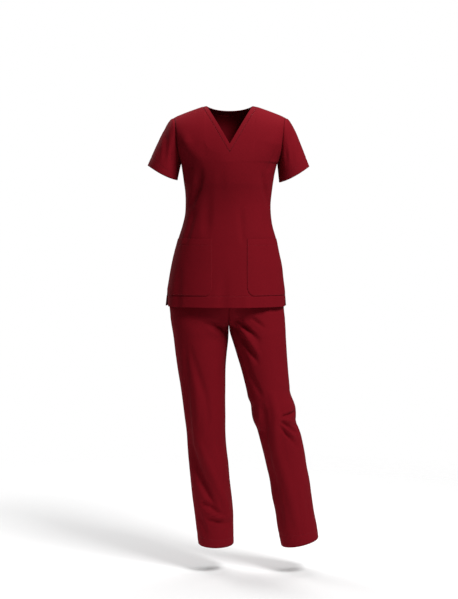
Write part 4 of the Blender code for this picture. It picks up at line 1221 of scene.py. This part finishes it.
def vent_stitches(cloth, ids, hem):
    """Lines beside both edges of the side vents, from the hem up past the vent's top."""
    top = nearest_row(cloth, "top_front", VENT_TOP_HEIGHT) if hem else 0
    inset = 3
    rows = range(1, top + 2)
    return [lift(cloth, [ids[r][inset] for r in rows], 0.0001),
            lift(cloth, [ids[r][-1 - inset] for r in rows], 0.0001)]


def neck_topstitch(ids):
    """Vertices of the row just below the neckband seam."""
    columns = body_columns()
    first = next(k for k, u in enumerate(columns) if abs(u) <= NECK_COLUMN)
    last = len(columns) - 1 - first
    return [ids[-2][k] for k in range(first, last + 1)]


class SCRUBS_OT_neckbands(bpy.types.Operator):
    """Make the narrow bands that bind the V and the back of the neck"""

    bl_idname = "scrubs.neckbands"
    bl_label = "Neckbands"

    def execute(self, context):
        cloth = top_surface()
        for number, facing in enumerate(("front", "back")):
            name = "neckband_" + facing
            material = woven_material("woven_burgundy_" + name, BURGUNDY_HEX, 3.0 + number)
            item = make_shell(name + "_cloth", cloth.shell(name, settings().cloth_wall), material)
            paths = [lift(cloth, cloth.lines[name][1], 0.0002)]
            stitches = make_stitches(name + "_stitches", paths)
            add_piece(item, name, stitches=stitches)
        return {"FINISHED"}


class SCRUBS_OT_sleeves(bpy.types.Operator):
    """Make both short set-in sleeves with stitched hems"""

    bl_idname = "scrubs.sleeves"
    bl_label = "Sleeves"

    def execute(self, context):
        cloth = top_surface()
        for number, side in enumerate(("right", "left")):
            name = "sleeve_" + side
            material = woven_material("woven_burgundy_" + name, BURGUNDY_HEX, 5.0 + number)
            item = make_shell(name + "_cloth", cloth.shell(name, settings().cloth_wall), material)
            ids = cloth.lines[name]
            hem = max(range(len(ids)), key=lambda r: cloth.sinks[ids[r][2]])
            stitches = make_stitches(name + "_stitches", [lift(cloth, ids[hem], 0.0001)])
            add_piece(item, name, stitches=stitches)
        return {"FINISHED"}


POCKET_LIFT = 0.0004
POCKET_WALL = 0.0008
POCKET_MOUTH_LIFT = 0.0014


def pocket_point(side, share, height):
    """Point on a pocket; share is 0 on its inner edge and 1 on the side seam."""
    sign = -1.0 if side == "right" else 1.0
    up = height - POCKET_BOTTOM_HEIGHT
    inset = 0.0
    if up < POCKET_CORNER_RADIUS:
        inset = POCKET_CORNER_RADIUS - math.sqrt(
            max(POCKET_CORNER_RADIUS ** 2 - (POCKET_CORNER_RADIUS - up) ** 2, 0.0))
    reach = abs(TORSO.at(height, side) - CENTRE_X)
    inner = POCKET_COLUMN + inset / reach * 0.62
    u = inner + (1.0 - inner) * share
    point = front_point(sign * u, height, "front")
    beside = front_point(sign * (u - 0.004), height, "front")
    above = front_point(sign * u, height + 0.002, "front")
    normal = (beside - point).cross(above - point).normalized()
    if normal.dot(Vector((sign * 0.4, -1.0, 0.0))) < 0.0:
        normal.negate()
    mouth = smooth(1.0 - (POCKET_TOP_HEIGHT - height) / 0.05) * math.sin(math.pi * share)
    return point, normal, POCKET_LIFT + POCKET_MOUTH_LIFT * mouth


class SCRUBS_OT_pockets(bpy.types.Operator):
    """Make both patch pockets, hemmed at the mouth and rounded at the lower corner"""

    bl_idname = "scrubs.pockets"
    bl_label = "Patch pockets"

    def execute(self, context):
        for number, side in enumerate(("right", "left")):
            name = "pocket_" + side
            heights = spread((POCKET_BOTTOM_HEIGHT + 0.0004, POCKET_BOTTOM_HEIGHT + 0.003), 0.0008)
            heights += spread((POCKET_BOTTOM_HEIGHT + 0.006, POCKET_BOTTOM_HEIGHT + POCKET_CORNER_RADIUS,
                               POCKET_TOP_HEIGHT - POCKET_HEM - 0.003), 0.0035)
            heights += [POCKET_TOP_HEIGHT - POCKET_HEM + step for step in (-0.001, 0.0, 0.001)]
            heights += spread((POCKET_TOP_HEIGHT - POCKET_HEM + 0.003, POCKET_TOP_HEIGHT - 0.001,
                               POCKET_TOP_HEIGHT), 0.0035)
            shares = [0.0, 0.012, 0.03] + spread((0.06, 0.996), 0.03)
            cloth = Cloth()
            rows = []
            sinks = []
            for height in heights:
                row = []
                for share in shares:
                    point, normal, out = pocket_point(side, share, height)
                    row.append(point + normal * (out + POCKET_WALL))
                rows.append(row)
                near_line = height - (POCKET_TOP_HEIGHT - POCKET_HEM)
                sinks.append(0.0005 if abs(near_line) < 0.0005 else 0.0)
            cloth.grid(name, rows, sinks, flip=side == "right")
            cloth.finish()
            mean_y = sum(cloth.normal[:, 1]) / len(cloth.normal)
            if mean_y > 0.0:
                raise RuntimeError(name + " faces inwards")
            material = woven_material("woven_burgundy_" + name, BURGUNDY_HEX, 7.0 + number)
            item = make_shell(name + "_cloth", cloth.shell(name, POCKET_WALL), material)
            ids = cloth.lines[name]
            hem = max(range(len(ids)), key=lambda r: cloth.sinks[ids[r][3]])
            edge = [ids[r][1] for r in range(len(ids) - 1, 3, -1)]
            bottom = [ids[2][c] for c in range(1, len(shares))]
            paths = [lift(cloth, ids[hem], 0.0001), lift(cloth, edge + bottom, 0.0001)]
            stitches = make_stitches(name + "_stitches", paths)
            add_piece(item, name,
                      stitches=stitches)
        return {"FINISHED"}


class SCRUBS_OT_trouser_legs(bpy.types.Operator):
    """Make the four straight trouser panels, creased at crotch and knee, with stitched hems"""

    bl_idname = "scrubs.trouser_legs"
    bl_label = "Trouser legs"

    def execute(self, context):
        cloth = trouser_surface()
        number = 9.0
        for side in ("right", "left"):
            for facing in ("front", "back"):
                name = "leg_" + side + "_" + facing
                material = woven_material("woven_burgundy_" + name, BURGUNDY_HEX, number)
                number += 1.0
                item = make_shell(name + "_cloth", cloth.shell(name, settings().cloth_wall), material)
                ids = cloth.lines[name]
                target = HEMS[side][0] + LEG_HEM_DEPTH
                hem = min(range(len(ids)), key=lambda r: abs(cloth.place[ids[r][0]][2] - target))
                stitches = make_stitches(name + "_stitches", [lift(cloth, ids[hem], 0.0001)])
                add_piece(item, name,
                          stitches=stitches)
        return {"FINISHED"}


class SCRUBS_OT_waistband(bpy.types.Operator):
    """Make the plain elastic waistband under the top"""

    bl_idname = "scrubs.waistband"
    bl_label = "Waistband"

    def execute(self, context):
        cloth = waist_surface()
        material = woven_material("woven_burgundy_waistband", BURGUNDY_HEX, 15.0)
        item = make_shell("waistband_cloth", cloth.shell("waistband", settings().cloth_wall), material)
        add_piece(item, "waistband")
        return {"FINISHED"}


CAMERA_DISTANCE = 4.5
CAMERA_HEIGHT = 1.10
CAMERA_SIDE = -0.0005
CAMERA_PITCH = 3.0
CAMERA_LENS = 86.1


WORLD_LIGHT = 0.13
FLOOR_GLOW = 0.10
FLOOR_SOLID_RADIUS = 0.9
FLOOR_END_RADIUS = 2.4
FLOOR_HALF_WIDTH = 4.0


def floor_material():
    """Matte pale floor that thins out to nothing well away from the garment."""
    material = bpy.data.materials.new("matte_pale_floor")
    material.use_nodes = True
    tree = material.node_tree
    shader = tree.nodes["Principled BSDF"]
    shader.inputs["Base Color"].default_value = linear(FLOOR_HEX)
    shader.inputs["Roughness"].default_value = 0.9
    shader.inputs["Specular IOR Level"].default_value = 0.0
    shader.inputs["Emission Color"].default_value = linear(FLOOR_HEX)
    shader.inputs["Emission Strength"].default_value = FLOOR_GLOW
    place = add_node(tree, "ShaderNodeTexCoord")
    level = add_node(tree, "ShaderNodeVectorMath", {1: (1.0, 1.0, 0.0)}, {0: place.outputs["Object"]},
                     operation="MULTIPLY")
    reach = add_node(tree, "ShaderNodeVectorMath", None, {0: level.outputs["Vector"]},
                     operation="LENGTH")
    fade = add_node(tree, "ShaderNodeMapRange",
                    {"From Min": FLOOR_SOLID_RADIUS, "From Max": FLOOR_END_RADIUS},
                    {"Value": reach.outputs["Value"]}, interpolation_type="SMOOTHSTEP")
    clear = add_node(tree, "ShaderNodeBsdfTransparent")
    mix = add_node(tree, "ShaderNodeMixShader", None,
                   {0: fade.outputs["Result"], 1: shader.outputs["BSDF"], 2: clear.outputs["BSDF"]})
    tree.links.new(mix.outputs["Shader"], tree.nodes["Material Output"].inputs["Surface"])
    return material


class SCRUBS_OT_studio(bpy.types.Operator):
    """Make the pale floor, the white surroundings, the soft lights and the camera"""

    bl_idname = "scrubs.studio"
    bl_label = "Studio"

    def execute(self, context):
        corners = ((-1.0, -1.0), (1.0, -1.0), (1.0, 1.0), (-1.0, 1.0))
        points = [(x * FLOOR_HALF_WIDTH, y * FLOOR_HALF_WIDTH, -HOLD_HEIGHT) for x, y in corners]
        floor = make_mesh("studio_floor", points, [(0, 1, 2, 3)])
        floor.data.materials.append(floor_material())
        world = bpy.data.worlds.new("soft_white")
        world.use_nodes = True
        tree = world.node_tree
        rays = add_node(tree, "ShaderNodeLightPath")
        strength = add_node(tree, "ShaderNodeMapRange", {"To Min": WORLD_LIGHT, "To Max": 1.0},
                            {"Value": rays.outputs["Is Camera Ray"]})
        back = tree.nodes["Background"]
        back.inputs["Color"].default_value = (1.0, 1.0, 1.0, 1.0)
        tree.links.new(strength.outputs["Result"], back.inputs["Strength"])
        context.scene.world = world
        context.scene.view_settings.view_transform = "Standard"
        for name, place, turn, size, power in LIGHTS:
            data = bpy.data.lights.new(name, "AREA")
            data.shape = "RECTANGLE"
            data.size, data.size_y = size
            data.energy = power
            lamp = bpy.data.objects.new(name, data)
            lamp.location = place
            lamp.rotation_euler = [math.radians(angle) for angle in turn]
            context.scene.collection.objects.link(lamp)
        data = bpy.data.cameras.new("camera")
        data.lens = CAMERA_LENS
        data.sensor_width = 36.0
        data.clip_end = 60.0
        camera = bpy.data.objects.new("camera", data)
        camera.location = (CAMERA_SIDE, -CAMERA_DISTANCE, CAMERA_HEIGHT - HOLD_HEIGHT)
        camera.rotation_euler = (math.radians(90.0 - CAMERA_PITCH), 0.0, 0.0)
        context.scene.collection.objects.link(camera)
        context.scene.camera = camera
        return {"FINISHED"}


# Name, place, turn in degrees, size and power of the studio's soft boxes
LIGHTS = (
    ("key", (1.7, -2.1, 2.2), (48.0, 0.0, 40.0), (1.2, 1.2), 142.0),
    ("top", (0.0, 1.1, 2.9), (0.0, 0.0, 0.0), (3.2, 1.8), 84.0),
    ("rear", (-2.4, 2.8, 1.2), (62.0, 0.0, 220.6), (1.6, 1.6), 60.0),
)


class SCRUBS_PT_panel(bpy.types.Panel):
    """Sidebar panel that lists the steps in order"""

    bl_label = "Medical scrubs"
    bl_space_type = "VIEW_3D"
    bl_region_type = "UI"
    bl_category = "Scrubs"

    def draw(self, context):
        for name in ScrubsSizes.__annotations__:
            self.layout.prop(context.scene.scrubs, name)
        for step in STEPS:
            self.layout.operator(step.bl_idname)


STEPS = (
    SCRUBS_OT_body_panels,
    SCRUBS_OT_neckbands,
    SCRUBS_OT_sleeves,
    SCRUBS_OT_pockets,
    SCRUBS_OT_trouser_legs,
    SCRUBS_OT_waistband,
    SCRUBS_OT_studio,
)


def register():
    for item in (ScrubsSizes,) + STEPS + (SCRUBS_PT_panel,):
        bpy.utils.register_class(item)
    bpy.types.Scene.scrubs = PointerProperty(type=ScrubsSizes)


def unregister():
    del bpy.types.Scene.scrubs
    for item in reversed((ScrubsSizes,) + STEPS + (SCRUBS_PT_panel,)):
        bpy.utils.unregister_class(item)


def main():
    register()
    bpy.ops.scrubs.body_panels()
    bpy.ops.scrubs.neckbands()
    bpy.ops.scrubs.sleeves()
    bpy.ops.scrubs.pockets()
    bpy.ops.scrubs.trouser_legs()
    bpy.ops.scrubs.waistband()
    bpy.ops.scrubs.studio()


if __name__ == "__main__":
    main()
